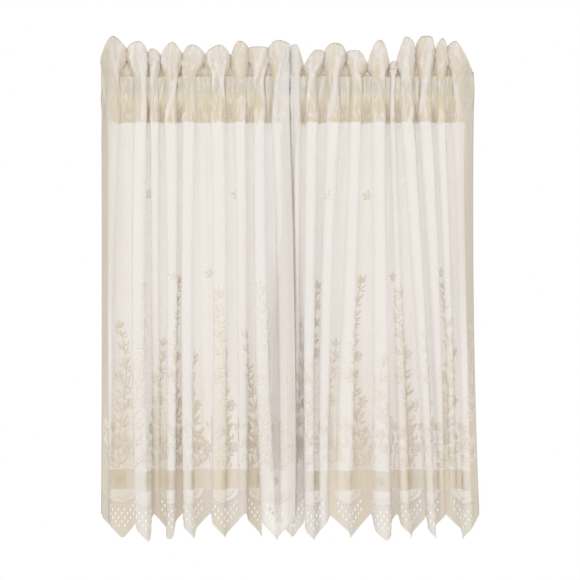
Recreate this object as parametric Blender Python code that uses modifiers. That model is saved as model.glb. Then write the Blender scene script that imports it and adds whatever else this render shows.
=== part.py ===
"""A pair of gathered lace cafe curtain panels hung on one flat curtain rod.

Metres, +Z up, and the front faces -Y. The origin is the middle of the rod's axis.
Each panel is one sheet. It rises from its pointed lower edge to the top of the heading, folds over
there and comes down again behind the rod as the hem, so that its two layers hold the rod.
"""
import math
from functools import lru_cache
from typing import NamedTuple

import bmesh
import bpy
from mathutils import Vector
from mathutils.geometry import delaunay_2d_cdt

MM = 0.001

# The rod is a flat bar with rolled long edges
ROD_HEIGHT = 25.4 * MM
ROD_DEPTH = 7.0 * MM
ROD_LENGTH = 557.0 * MM
ROD_EDGE_RADIUS = 3.2 * MM
ROD_EDGE_STEPS = 4

# The cloth, and the room that it keeps
CLOTH = 1.2 * MM
LAYER_GAP = 0.5 * MM
ROD_CLEARANCE = 0.5 * MM

# Heights over the rod's axis
NOTCH_Z = -641.0 * MM
WAIST_Z = -330.0 * MM
POCKET_Z = -50.0 * MM
SEAM_Z = 17.5 * MM
HEM_END_Z = POCKET_Z - 4.0 * MM
ROD_HOLD_Z = 10.5 * MM

# The pointed lower edge, measured on the flat cloth
POINTS = 7
POINT_PITCH = 75.0 * MM
POINT_DEPTH = 36.0 * MM
POINT_STEPS = 5
TIP_FLAT = 0.06
PANEL_WIDTH = POINTS * POINT_PITCH

# The open lattice over each point: rows of diamond gaps, counted up from the lowest gap
STRIP_HEIGHT = 40.0 * MM
CELLS_PER_POINT = 6
CELL_WIDTH = POINT_PITCH / CELLS_PER_POINT
CELL_HEIGHT = 16.0 * MM
STRAND = 2.2 * MM
LOWEST_CELL = -16.0 * MM


class LatticeRow(NamedTuple):
    """One row of gaps: its step up from the lowest row, and the gaps' places in half cell widths."""

    step: int
    places: tuple


LATTICE = (
    LatticeRow(0, (0,)),
    LatticeRow(1, (-1, 1)),
    LatticeRow(2, (-2, 0, 2)),
    LatticeRow(3, (-3, -1, 1, 3)),
    LatticeRow(4, (-4, -2, 2, 4)),
    LatticeRow(5, (-5, -3, 3, 5)),
)


class Fold(NamedTuple):
    """One forward fold and the valley to its right, in millimetres.

    head, pocket, waist, foot: the crest's place along X at four heights, from the top down
    half_top, half_foot: half of the crest's width
    front: how far the crest stands before the rod's axis at the pocket, waist and foot
    back: how far the valley stands behind it there
    lobe, notch: the heading's height over the seam, at the crest and in the valley
    """

    head: float
    pocket: float
    waist: float
    foot: float
    half_top: float
    half_foot: float
    front: tuple
    back: tuple
    lobe: float
    notch: float


class Edge(NamedTuple):
    """A side edge in millimetres: its X at the head, pocket, waist and foot, its Y, its height."""

    head: float
    pocket: float
    waist: float
    foot: float
    y: tuple
    height: float


class Panel(NamedTuple):
    """A panel: its name, its side edges and its folds."""

    name: str
    left: Edge
    right: Edge
    folds: tuple


LEFT_PANEL = Panel(
    "left_panel",
    Edge(-280, -279, -279, -280, (0, 4, 5), 30),
    Edge(2.4, 2.4, 10, 12, (-1.8, -7, -12), 46),
    (
        Fold(-262, -262, -268, -272, 8, 5, (8, 8, 1), (6, 8, 5), 60, 46),
        Fold(-223, -221, -223, -216, 8, 10, (8, 19, 29), (6, 8, 3), 52, 42),
        Fold(-203, -200, -199, -197, 5, 4, (5, 2, -1), (6, 8, 4), 42, 31),
        Fold(-172, -175, -174, -176, 8, 5, (8, 9, 10), (6, 7, 9), 51, 33),
        Fold(-144, -148, -151, -149, 8, 7, (8, 12, 9), (6, 9, 11), 47, 36),
        Fold(-102, -105, -102, -104, 9, 9, (7, 6, 3), (6, 10, 10), 48, 33),
        Fold(-73, -72, -68, -68, 7, 6, (7, 2, -7), (6, 12, 18), 54, 42),
        Fold(-44, -43, -40, -29, 7, 10, (8, 20, 31), (4, 0, -17), 43, 42),
        Fold(-15, -15, -8, -6, 7, 5, (8, 14, 20), (0, 0, 0), 54, 42),
    ),
)
RIGHT_PANEL = Panel(
    "right_panel",
    Edge(3.6, 3.6, -18, -28, (1.8, 8, 13), 44),
    Edge(277, 278, 278, 286, (0, 1, -2), 12),
    (
        Fold(12, 13, 13, 10, 4, 3, (5, 0, -6), (6, 10, 10), 49, 14),
        Fold(42, 36, 32, 32, 7, 6, (8, 18, 26), (6, 3, -14), 41, 40),
        Fold(70, 68, 57, 53, 8, 6, (8, 16, 20), (6, 6, -14), 51, 40),
        Fold(103, 102, 92, 82, 7, 11, (7, 6, 14), (6, 9, 5), 40, 22),
        Fold(138, 136, 138, 141, 8, 12, (8, 18, 21), (6, 8, 0), 55, 24),
        Fold(158, 157, 166, 175, 3, 7, (4, 0, 14), (6, 7, 4), 26, 22),
        Fold(176, 179, 197, 213, 8, 5, (8, 17, 25), (6, 6, 1), 59, 46),
        Fold(207, 206, 221, 231, 8, 4, (8, 5, 0), (6, 8, 4), 61, 40),
        Fold(230, 229, 241, 249, 5, 4, (7, 2, -4), (6, 8, 5), 56, 46),
        Fold(250, 254, 262, 268, 6, 6, (8, 13, 16), (0, 0, 0), 53, 3),
    ),
)

# How flat crests and valleys are, how far the folds sink at the upper stitches, how far a notch
# has risen at its valley's far side, and how finely the cloth's line is measured
SHOULDER = 0.72
SEAM_SHARE = 0.75
NOTCH_SLOPE = 0.35
CURVE_STEPS = 6

# Each fold adds six guide points: the left flank, the crest's two shoulders, the right flank, and
# the valley's two shoulders. These count them from the fold's first point.
GUIDES = 6
CREST_LEFT, CREST_TOP, CREST_RIGHT, VALLEY_LEFT, VALLEY_RIGHT = 2, 2.5, 3, 5, 6
LAST_FLANK = 2


class Row(NamedTuple):
    """One row of points across the sheet: a height, or a share of the heading, on one layer."""

    z: float
    heading: float
    layer: int


FRONT, BACK = -1, 1
HANGING_HEIGHTS = (-520 * MM, -425 * MM, WAIST_Z, -240 * MM, -160 * MM, -95 * MM)
POCKET_HEIGHTS = (POCKET_Z, -31 * MM, -ROD_HOLD_Z, ROD_HOLD_Z, 14.5 * MM, SEAM_Z)
HEADING_SHARES = (0.0, 0.5, 0.93, 1.0)
HEADING_APART = ((CLOTH + LAYER_GAP) / 2, 2.1 * MM, 1.9 * MM, 1.0 * MM)


def colour_material(name, colour, roughness, metallic=0.0):
    """A Principled BSDF of one colour."""
    material = bpy.data.materials.new(name)
    material.use_nodes = True
    shader = material.node_tree.nodes["Principled BSDF"]
    shader.inputs["Base Color"].default_value = (*colour, 1.0)
    shader.inputs["Roughness"].default_value = roughness
    shader.inputs["Metallic"].default_value = metallic
    return material


def blend(a, b, t):
    return a + (b - a) * t


def smooth(t):
    """An even rise from 0 to 1 with level ends."""
    t = min(1.0, max(0.0, t))
    return t * t * (3 - 2 * t)


def down_the_cloth(pocket, waist, foot, z):
    """A parabola through the values at the pocket, the waist and the foot, level above the pocket."""
    z = min(z, POCKET_Z)
    at_pocket = (z - WAIST_Z) * (z - NOTCH_Z) / ((POCKET_Z - WAIST_Z) * (POCKET_Z - NOTCH_Z))
    at_waist = (z - POCKET_Z) * (z - NOTCH_Z) / ((WAIST_Z - POCKET_Z) * (WAIST_Z - NOTCH_Z))
    at_foot = (z - POCKET_Z) * (z - WAIST_Z) / ((NOTCH_Z - POCKET_Z) * (NOTCH_Z - WAIST_Z))
    return pocket * at_pocket + waist * at_waist + foot * at_foot


def along_x(piece, z, heading):
    """Where a crest or a side edge lies along X."""
    return blend(down_the_cloth(piece.pocket, piece.waist, piece.foot, z), piece.head, smooth(heading)) * MM


def edge_point(edge, z, heading):
    return along_x(edge, z, heading), down_the_cloth(*edge.y, z) * MM


@lru_cache(maxsize=None)
def guide_points(panel, z, heading):
    """The points that the cloth's line runs through at a height, from the left edge to the right.

    Each fold gives two points on its crest with one on either flank, and two in the valley after it.
    """
    points = [edge_point(panel.left, z, heading)]
    gather = blend(1.0, SEAM_SHARE, smooth((z - ROD_HOLD_Z) / (SEAM_Z - ROD_HOLD_Z)))
    crests = []
    for fold in panel.folds:
        half = blend(fold.half_top, fold.half_foot, smooth((POCKET_Z - z) / (POCKET_Z - NOTCH_Z)))
        x = along_x(fold, z, heading)
        front = -down_the_cloth(*fold.front, z) * MM * gather
        back = down_the_cloth(*fold.back, z) * MM * gather
        crests.append((x, half * MM, front, back))
    for i, (x, half, front, back) in enumerate(crests):
        last = i == len(crests) - 1
        back_before = crests[i - 1][3] if i else points[0][1]
        start, end = x - half, x + half
        points += [
            (start, (front + back_before) / 2),
            (x - half * SHOULDER, front),
            (x + half * SHOULDER, front),
        ]
        if last:
            break
        points.append((end, (front + back) / 2))
        following = crests[i + 1][0] - crests[i + 1][1]
        middle, room = (end + following) / 2, (following - end) / 2 * SHOULDER
        points += [(middle - room, back), (middle + room, back)]
    points.append(edge_point(panel.right, z, heading))
    return tuple(points)


@lru_cache(maxsize=None)
def open_points(panel, z, layer):
    """The guide points of one layer where the pocket stands open around the rod."""
    hold = ROD_DEPTH / 2 + ROD_CLEARANCE + CLOTH / 2
    side = -hold if layer == FRONT else hold
    pick = min if layer == FRONT else max
    return tuple((x, pick(y, side)) for x, y in guide_points(panel, z, 0.0))


def on_curve(points, place):
    """The point and direction at a place along a smooth curve, counted in guide points."""
    i = min(int(place), len(points) - 2)
    t = place - i
    b, c = points[i], points[i + 1]
    a = points[i - 1] if i else tuple(2 * p - q for p, q in zip(b, c))
    d = points[i + 2] if i + 2 < len(points) else tuple(2 * q - p for p, q in zip(b, c))
    point, direction = [], []
    for p, q, r, s in zip(a, b, c, d):
        square, cube = 2 * p - 5 * q + 4 * r - s, 3 * q - 3 * r + s - p
        point.append(q + 0.5 * ((r - p) * t + square * t**2 + cube * t**3))
        direction.append(0.5 * (r - p) + square * t + 1.5 * cube * t**2)
    return point, direction


@lru_cache(maxsize=None)
def reach(panel, z):
    """The length of the cloth's line up to each small step along it."""
    points = guide_points(panel, z, 0.0)
    steps = (len(points) - 1) * CURVE_STEPS
    walked = [0.0]
    before = points[0]
    for step in range(1, steps + 1):
        here, _ = on_curve(points, step / CURVE_STEPS)
        walked.append(walked[-1] + math.dist(before, here))
        before = here
    return walked


def share_to_place(panel, z, share):
    """The place, in guide points, at a share of the line's length."""
    walked = reach(panel, z)
    target = share * walked[-1]
    step = next((i for i in range(1, len(walked)) if walked[i] >= target), len(walked) - 1)
    span = walked[step] - walked[step - 1]
    return (step - 1 + (target - walked[step - 1]) / span) / CURVE_STEPS


def place_to_share(panel, z, place):
    """The share of the line's length at a place in guide points."""
    walked = reach(panel, z)
    step = min(int(place * CURVE_STEPS), len(walked) - 2)
    return blend(walked[step], walked[step + 1], place * CURVE_STEPS - step) / walked[-1]


def pocket_opening(z):
    """How far the two layers stand apart around the rod, from 0 at the stitches to 1 at the rod."""
    if z > 0:
        return 1 - (1 - min(1.0, (SEAM_Z - z) / (SEAM_Z - ROD_HOLD_Z))) ** 3
    return smooth((z - POCKET_Z) / (-ROD_HOLD_Z - POCKET_Z))


def heading_height(panel, place):
    """The heading's height over the seam at a place along the cloth's line."""
    marks = [(0, panel.left.height)]
    for i, fold in enumerate(panel.folds):
        first = GUIDES * i
        marks.append((first + CREST_TOP, fold.lobe))
        if i < len(panel.folds) - 1:
            rise = panel.folds[i + 1].lobe - fold.notch
            marks.append((first + VALLEY_LEFT, fold.notch))
            marks.append((first + VALLEY_RIGHT, fold.notch + NOTCH_SLOPE * rise))
    marks.append((GUIDES * len(panel.folds) - LAST_FLANK, panel.right.height))
    for (start, low), (end, high) in zip(marks, marks[1:]):
        if place <= end:
            return blend(low, high, smooth((place - start) / (end - start))) * MM
    return marks[-1][1] * MM


def sheet_point(panel, place, row):
    """A point of the sheet at a place across it on one row."""
    points = guide_points(panel, row.z, row.heading)
    (x, y), (along, away) = on_curve(points, place)
    length = math.hypot(along, away)
    apart = HEADING_APART[HEADING_SHARES.index(row.heading)]
    x += row.layer * apart * -away / length
    y += row.layer * apart * along / length
    opening = 0.0 if row.heading else pocket_opening(row.z)
    if opening > 0:
        (open_x, open_y), _ = on_curve(open_points(panel, row.z, row.layer), place)
        x, y = blend(x, open_x, opening), blend(y, open_y, opening)
    z = row.z + row.heading * heading_height(panel, place)
    return Vector((x, y, z))


def columns(panel):
    """The places of the mesh's columns: each crest's middle and shoulders, and each valley's shoulders."""
    places = [0.0]
    for i in range(len(panel.folds)):
        first = GUIDES * i
        places += [first + CREST_LEFT, first + CREST_TOP, first + CREST_RIGHT]
        if i < len(panel.folds) - 1:
            places += [first + VALLEY_LEFT, first + VALLEY_RIGHT]
    return [*places, GUIDES * len(panel.folds) - LAST_FLANK]


def rows():
    """The rows above the lattice strip: up the front, over the heading and down the hem behind."""
    front = [NOTCH_Z + STRIP_HEIGHT, *HANGING_HEIGHTS, *POCKET_HEIGHTS]
    behind = [*reversed(POCKET_HEIGHTS), HEM_END_Z]
    return [
        *(Row(z, 0.0, FRONT) for z in front),
        *(Row(SEAM_Z, share, FRONT) for share in HEADING_SHARES[1:]),
        *(Row(SEAM_Z, share, BACK) for share in HEADING_SHARES[:0:-1]),
        *(Row(z, 0.0, BACK) for z in behind),
    ]


def edge_drop(across):
    """How far the lower edge hangs under the notches, at a distance from the first notch."""
    share = abs((across / POINT_PITCH) % 1.0 - 0.5) * 2
    return POINT_DEPTH * (1 - max(share, TIP_FLAT)) / (1 - TIP_FLAT)


def strip_points(panel):
    """The lattice strip on the flat cloth: its outline points, its gaps, and points between them.

    Here x runs across the cloth and y is the height over the notches.
    """
    top = NOTCH_Z + STRIP_HEIGHT
    outline = [Vector((place_to_share(panel, top, p) * PANEL_WIDTH, STRIP_HEIGHT)) for p in columns(panel)]
    step = POINT_PITCH / 2 / POINT_STEPS
    count = POINTS * 2 * POINT_STEPS
    return outline + [Vector((i * step, -edge_drop(i * step))) for i in range(count, -1, -1)]


def gap_centres():
    """The middles of the lattice's gaps on the flat cloth."""
    found = []
    for point in range(POINTS):
        middle = (point + 0.5) * POINT_PITCH
        for row in LATTICE:
            y = LOWEST_CELL + row.step * CELL_HEIGHT / 2
            found += [Vector((middle + place * CELL_WIDTH / 2, y)) for place in row.places]
    return [c for c in found if CELL_WIDTH * 0.75 < c.x < PANEL_WIDTH - CELL_WIDTH * 0.75]


def flat_strip(panel):
    """The lattice strip's points and triangles on the flat cloth."""
    outline = strip_points(panel)
    points = list(outline)
    loops = [list(reversed(range(len(outline))))]
    side = math.hypot(CELL_WIDTH, CELL_HEIGHT) / 2
    shrink = 1 - STRAND / 2 / (CELL_WIDTH * CELL_HEIGHT / 4 / side)
    half_width, half_height = CELL_WIDTH / 2 * shrink, CELL_HEIGHT / 2 * shrink
    gaps = gap_centres()
    for middle in gaps:
        first = len(points)
        for dx, dy in ((half_width, 0), (0, half_height), (-half_width, 0), (0, -half_height)):
            points.append(middle + Vector((dx, dy)))
        loops.append([first, first + 1, first + 2, first + 3])

    def near_gap(point, reach_out):
        return any(
            abs(point.x - g.x) / (half_width + reach_out) + abs(point.y - g.y) / (half_height + reach_out) < 1
            for g in gaps
        )

    for height in (28 * MM, 16 * MM):
        for place in columns(panel)[1:-1]:
            u = place_to_share(panel, NOTCH_Z + height, place) * PANEL_WIDTH
            candidate = Vector((u, height))
            if not near_gap(candidate, 3 * MM):
                points.append(candidate)
    found, _, triangles, _, _, inside = delaunay_2d_cdt(points, [], loops, 0, 1e-7)
    return found, [triangle for triangle, within in zip(triangles, inside) if list(within) == [0]]


def make_panel(panel, material, collection):
    """Builds one panel: the folded sheet and its lattice strip in one mesh, given the cloth's thickness."""
    sheet = bmesh.new()
    places = columns(panel)
    grid = [[sheet.verts.new(sheet_point(panel, place, row)) for place in places] for row in rows()]
    for below, above in zip(grid, grid[1:]):
        for a, b, c, d in zip(below, below[1:], above[1:], above):
            sheet.faces.new((a, b, c, d))
    flat, triangles = flat_strip(panel)
    made = {}
    for i, point in enumerate(flat):
        z = NOTCH_Z + point.y
        place = share_to_place(panel, z, min(1.0, max(0.0, point.x / PANEL_WIDTH)))
        made[i] = sheet.verts.new(sheet_point(panel, place, Row(z, 0.0, FRONT)))
    for triangle in triangles:
        sheet.faces.new([made[i] for i in triangle])
    bmesh.ops.remove_doubles(sheet, verts=sheet.verts, dist=0.02 * MM)
    loose = [v for v in sheet.verts if not v.link_faces]
    bmesh.ops.delete(sheet, geom=loose, context="VERTS")
    bmesh.ops.recalc_face_normals(sheet, faces=sheet.faces)
    mesh = bpy.data.meshes.new(panel.name)
    sheet.to_mesh(mesh)
    sheet.free()
    mesh.materials.append(material)
    for polygon in mesh.polygons:
        polygon.use_smooth = True
    item = bpy.data.objects.new(panel.name, mesh)
    collection.objects.link(item)
    thickness = item.modifiers.new("cloth", "SOLIDIFY")
    thickness.thickness = CLOTH
    thickness.offset = 0.0
    return item


def make_rod(material, collection):
    """Builds the flat rod with its long edges rolled over and its ends cut square."""
    bar = bmesh.new()
    bmesh.ops.create_cube(bar, size=1.0)
    bmesh.ops.scale(bar, vec=(ROD_LENGTH, ROD_DEPTH, ROD_HEIGHT), verts=bar.verts)
    long_edges = [e for e in bar.edges if abs(e.verts[0].co.x - e.verts[1].co.x) > ROD_LENGTH / 2]
    bmesh.ops.bevel(
        bar, geom=long_edges, offset=ROD_EDGE_RADIUS, segments=ROD_EDGE_STEPS, profile=0.5, affect="EDGES"
    )
    mesh = bpy.data.meshes.new("rod")
    bar.to_mesh(mesh)
    bar.free()
    mesh.materials.append(material)
    item = bpy.data.objects.new("rod", mesh)
    collection.objects.link(item)
    return item


def main():
    for item in list(bpy.data.objects):
        bpy.data.objects.remove(item, do_unlink=True)
    collection = bpy.data.collections.new("cafe_curtain")
    bpy.context.scene.collection.children.link(collection)
    lace = colour_material("ivory_lace", (0.80, 0.76, 0.68), 0.85)
    paint = colour_material("white_paint", (0.78, 0.78, 0.76), 0.4)
    make_rod(paint, collection)
    for panel in (LEFT_PANEL, RIGHT_PANEL):
        make_panel(panel, lace, collection)


main()
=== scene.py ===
"""Looks for a pair of gathered lace cafe curtain panels on a flat rod.

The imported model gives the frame. Each panel's solid is replaced by one thin sheet of lace on the
same folds, with its open lattice cut through, and the lace's flowers, scrolls, band and border are
woven pieces that lie on it. Flat cloth is measured as u, across the cut width from the left edge,
and v, up from the notches of the pointed lower edge. Lengths are in metres unless a name says mm.
"""

import logging
import math
from dataclasses import dataclass, replace
from enum import Enum

import bmesh
import bpy
import numpy as np
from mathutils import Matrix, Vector
from mathutils.geometry import delaunay_2d_cdt


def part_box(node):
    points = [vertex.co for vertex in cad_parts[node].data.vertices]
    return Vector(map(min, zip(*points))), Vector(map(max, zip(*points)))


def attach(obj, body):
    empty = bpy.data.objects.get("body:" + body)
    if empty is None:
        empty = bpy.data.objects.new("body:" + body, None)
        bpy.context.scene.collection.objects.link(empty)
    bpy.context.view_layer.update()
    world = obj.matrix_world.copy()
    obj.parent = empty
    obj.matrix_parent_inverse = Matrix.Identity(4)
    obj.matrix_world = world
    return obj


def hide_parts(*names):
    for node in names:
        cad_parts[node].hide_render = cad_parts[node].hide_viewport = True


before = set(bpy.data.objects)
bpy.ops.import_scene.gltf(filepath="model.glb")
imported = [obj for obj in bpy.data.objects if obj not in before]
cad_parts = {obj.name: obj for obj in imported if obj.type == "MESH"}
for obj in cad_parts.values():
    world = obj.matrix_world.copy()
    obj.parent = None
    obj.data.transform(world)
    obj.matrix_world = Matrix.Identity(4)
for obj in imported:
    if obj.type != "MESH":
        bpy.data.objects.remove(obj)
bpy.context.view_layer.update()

logging.basicConfig(level=logging.INFO, format="%(message)s")
LOG = logging.getLogger("cafe_curtain")

MM = 0.001
ROD_LOW, ROD_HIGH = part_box("rod")
ROD_HALF_DEPTH = (ROD_HIGH[1] - ROD_LOW[1]) / 2

# Heights over the rod's axis, and the heading's own height
NOTCH_Z = -641.0 * MM
WAIST_Z = -330.0 * MM
POCKET_Z = -50.0 * MM
SEAM_Z = 17.5 * MM
HEM_END_Z = -54.0 * MM
ROD_HOLD_Z = 10.5 * MM
HEADING = 50.0 * MM

# The flat cloth
POINTS = 7
PITCH = 75.0 * MM
POINT_DEPTH = 36.0 * MM
TIP_FLAT = 0.06
WIDTH = POINTS * PITCH
SIDE_HEM = 18.0 * MM
STRIP_HEIGHT = 40.0 * MM
UV_RISE = 40.0 * MM

# How finely the sheet is drawn
COLUMN_STEP = 2.0 * MM
HANGING_ROWS = 92
ROWS_UNDER_STRIP = 14
POCKET_ROWS = 17
HEADING_ROWS = 12
CURVE_STEPS = 10

# How the folds are rounded, as in the solids
SHOULDER = 0.72
SEAM_SHARE = 0.75
LAYER_HALF_GAP = 0.85 * MM
LAYER_PUFF = 0.55 * MM
HALF_CLOTH = 0.6 * MM
ROD_CLEARANCE = 0.5 * MM


@dataclass(frozen=True)
class Fold:
    """One forward fold and the valley to its right, in millimetres.

    head, pocket, waist and foot are the crest's places along X from the top down. half_top and
    half_foot are half of its width. front and back are how far the crest and the valley stand
    before and behind the rod's axis at the pocket, waist and foot. lobe and notch are the
    heading's height over the seam at the crest and in the valley. lean is how far the lobe's top
    stands back from the rod. gleam is how strong the painted highlight on the crest is at the
    pocket, waist and foot. arch is how square the lobe's top is, where 2 is a round arch. spread
    is how far the painted highlight reaches.
    """

    head: float
    pocket: float
    waist: float
    foot: float
    half_top: float
    half_foot: float
    front: tuple[float, float, float]
    back: tuple[float, float, float]
    lobe: float
    notch: float
    lean: float
    crest_highlight: tuple[float, float, float]
    arch: float = 2.0
    spread: float = 1.0


@dataclass(frozen=True)
class Edge:
    """A side edge in millimetres: its X at four heights, its Y at three, and the heading's height."""

    head: float
    pocket: float
    waist: float
    foot: float
    y: tuple[float, float, float]
    height: float


LEFT_FOLDS = (
    Fold(-262, -262, -268, -272, 8, 5, (8, 8, 1), (6, 8, 5), 57, 40, 2, (0.15, 0, 0.3), arch=1.6),
    Fold(-223, -221, -223, -216, 8, 10, (8, 19, 29), (6, 8, 3), 49, 35, 3, (0.7, 0.9, 0.9)),
    Fold(-203, -200, -199, -197, 5, 4, (5, 2, -1), (6, 8, 4), 38.5, 29, 0, (0.3, 0, 0)),
    Fold(-172, -175, -174, -176, 8, 5, (8, 9, 10), (6, 7, 9), 47, 30, -3, (0.2, 0.15, 0.2), arch=1.6),
    Fold(-144, -148, -151, -149, 8, 7, (8, 12, 9), (6, 9, 11), 44, 31, 2, (0.5, 0.7, 0.8)),
    Fold(-102, -105, -102, -104, 9, 9, (7, 6, 3), (6, 10, 10), 43.5, 29, -2, (0.3, 0.15, 0), arch=1.7),
    Fold(-73, -72, -68, -68, 7, 6, (7, 2, -7), (6, 12, 18), 50, 41, 3, (0.2, 0, 0)),
    Fold(-44, -43, -40, -29, 7, 10, (8, 20, 31), (4, 0, -17), 41, 40, 0, (0.4, 0.6, 0.9),
         arch=1.2, spread=2.4),
    Fold(-15, -15, -8, -6, 7, 5, (8, 14, 20), (0, 0, 0), 50, 42, -2, (0.4, 0.6, 0.5)),
)
RIGHT_FOLDS = (
    Fold(12, 13, 13, 10, 4, 3, (5, 0, -6), (6, 10, 10), 45, 12, 2, (0.4, 0.2, 0)),
    Fold(42, 36, 32, 32, 7, 6, (8, 18, 26), (6, 3, -14), 36, 35, -2, (0.4, 0.5, 0.8), arch=1.5),
    Fold(70, 68, 57, 53, 8, 6, (8, 16, 20), (6, 6, -14), 46.5, 35, 2, (0.4, 0.8, 0.9), arch=2.6),
    Fold(103, 102, 92, 82, 7, 11, (7, 6, 14), (6, 9, 5), 35, 15, -3, (0.2, 0.1, 0.3)),
    Fold(138, 136, 138, 141, 8, 12, (8, 18, 21), (6, 8, 0), 51, 16, 3, (0.5, 0.5, 0.8), arch=2.2),
    Fold(158, 157, 166, 175, 3, 7, (4, 0, 14), (6, 7, 4), 20, 16, 0, (0.2, 0, 0.2)),
    Fold(176, 179, 197, 213, 8, 5, (8, 17, 25), (6, 6, 1), 55, 40, -3, (0.5, 0.7, 0.9)),
    Fold(207, 206, 221, 231, 8, 4, (8, 5, 0), (6, 8, 4), 57, 36, 2, (0.3, 0.2, 0.1), arch=4.0),
    Fold(230, 229, 241, 249, 5, 4, (7, 2, -4), (6, 8, 5), 53.5, 43, -2, (0.2, 0.2, 0), arch=1.6),
    Fold(250, 254, 262, 268, 6, 6, (8, 13, 16), (0, 0, 0), 50.5, 3, 2, (0.2, 0.2, 0.3), arch=1.3),
)


LEFT_EDGES = (
    Edge(-280, -279, -279, -280, (0, 4, 5), 28),
    Edge(2.4, 2.4, 10, 12, (-1.8, -7, -12), 46),
)
RIGHT_EDGES = (
    Edge(3.6, 3.6, -18, -28, (1.8, 8, 13), 44),
    Edge(277, 278, 278, 286, (0, 1, -2), 4),
)


class Layer(Enum):
    """The two layers of the heading and the pocket, by their side of the rod along Y."""

    FRONT = -1
    BACK = 1


def rise(t: float) -> float:
    """An even rise from 0 to 1 with level ends, for a share t."""
    t = min(1.0, max(0.0, t))
    return t * t * (3 - 2 * t)


def waves(u: np.ndarray, height: float, *sines: tuple[float, float, float, float]) -> np.ndarray:
    """Adds up sine waves that run over the cloth.

    Args:
        u: the places across the flat cloth.
        height: the height on it.
        sines: each wave's size, its turns along u and along the height in radians a metre, and its start.

    Returns:
        The sum at each place.
    """
    return sum(size * np.sin(u * over + height * up + start) for size, over, up, start in sines)


def flat_row(u: np.ndarray, v: float) -> np.ndarray:
    """Points in one level row on the flat cloth, one (u, v) a row."""
    return np.column_stack([u, np.full(len(u), v)])


def down_the_cloth(values: tuple[float, float, float], z: float) -> float:
    """Blends a pocket, waist and foot value along a parabola.

    Args:
        values: the values at the pocket, the waist and the foot.
        z: the height. Above the pocket the value stays level.

    Returns:
        The value at that height.
    """
    z = min(z, POCKET_Z)
    heights = (POCKET_Z, WAIST_Z, NOTCH_Z)
    total = 0.0
    for here, value in zip(heights, values):
        others = [h for h in heights if h != here]
        total += value * math.prod((z - h) / (here - h) for h in others)
    return total


def smooth_curve(points: np.ndarray, places: np.ndarray) -> tuple[np.ndarray, np.ndarray]:
    """Reads a smooth curve that runs through its guide points.

    Args:
        points: the guide points, one a row.
        places: where to read, counted in guide points.

    Returns:
        The points of the curve and its directions.
    """
    first, last = 2 * points[0] - points[1], 2 * points[-1] - points[-2]
    padded = np.vstack([first, points, last])
    i = np.clip(places.astype(int), 0, len(points) - 2)
    t = (places - i)[:, None]
    a, b, c, d = (padded[i + k] for k in range(4))
    square, cube = 2 * a - 5 * b + 4 * c - d, 3 * b - 3 * c + d - a
    at = b + 0.5 * ((c - a) * t + square * t**2 + cube * t**3)
    along = 0.5 * (c - a) + square * t + 1.5 * cube * t**2
    return at, along / np.linalg.norm(along, axis=1)[:, None]


@dataclass(frozen=True)
class Row:
    """One row across the sheet: a height, a share of the heading, and the layer that it is on."""

    z: float
    share: float = 0.0
    layer: Layer = Layer.FRONT


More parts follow.
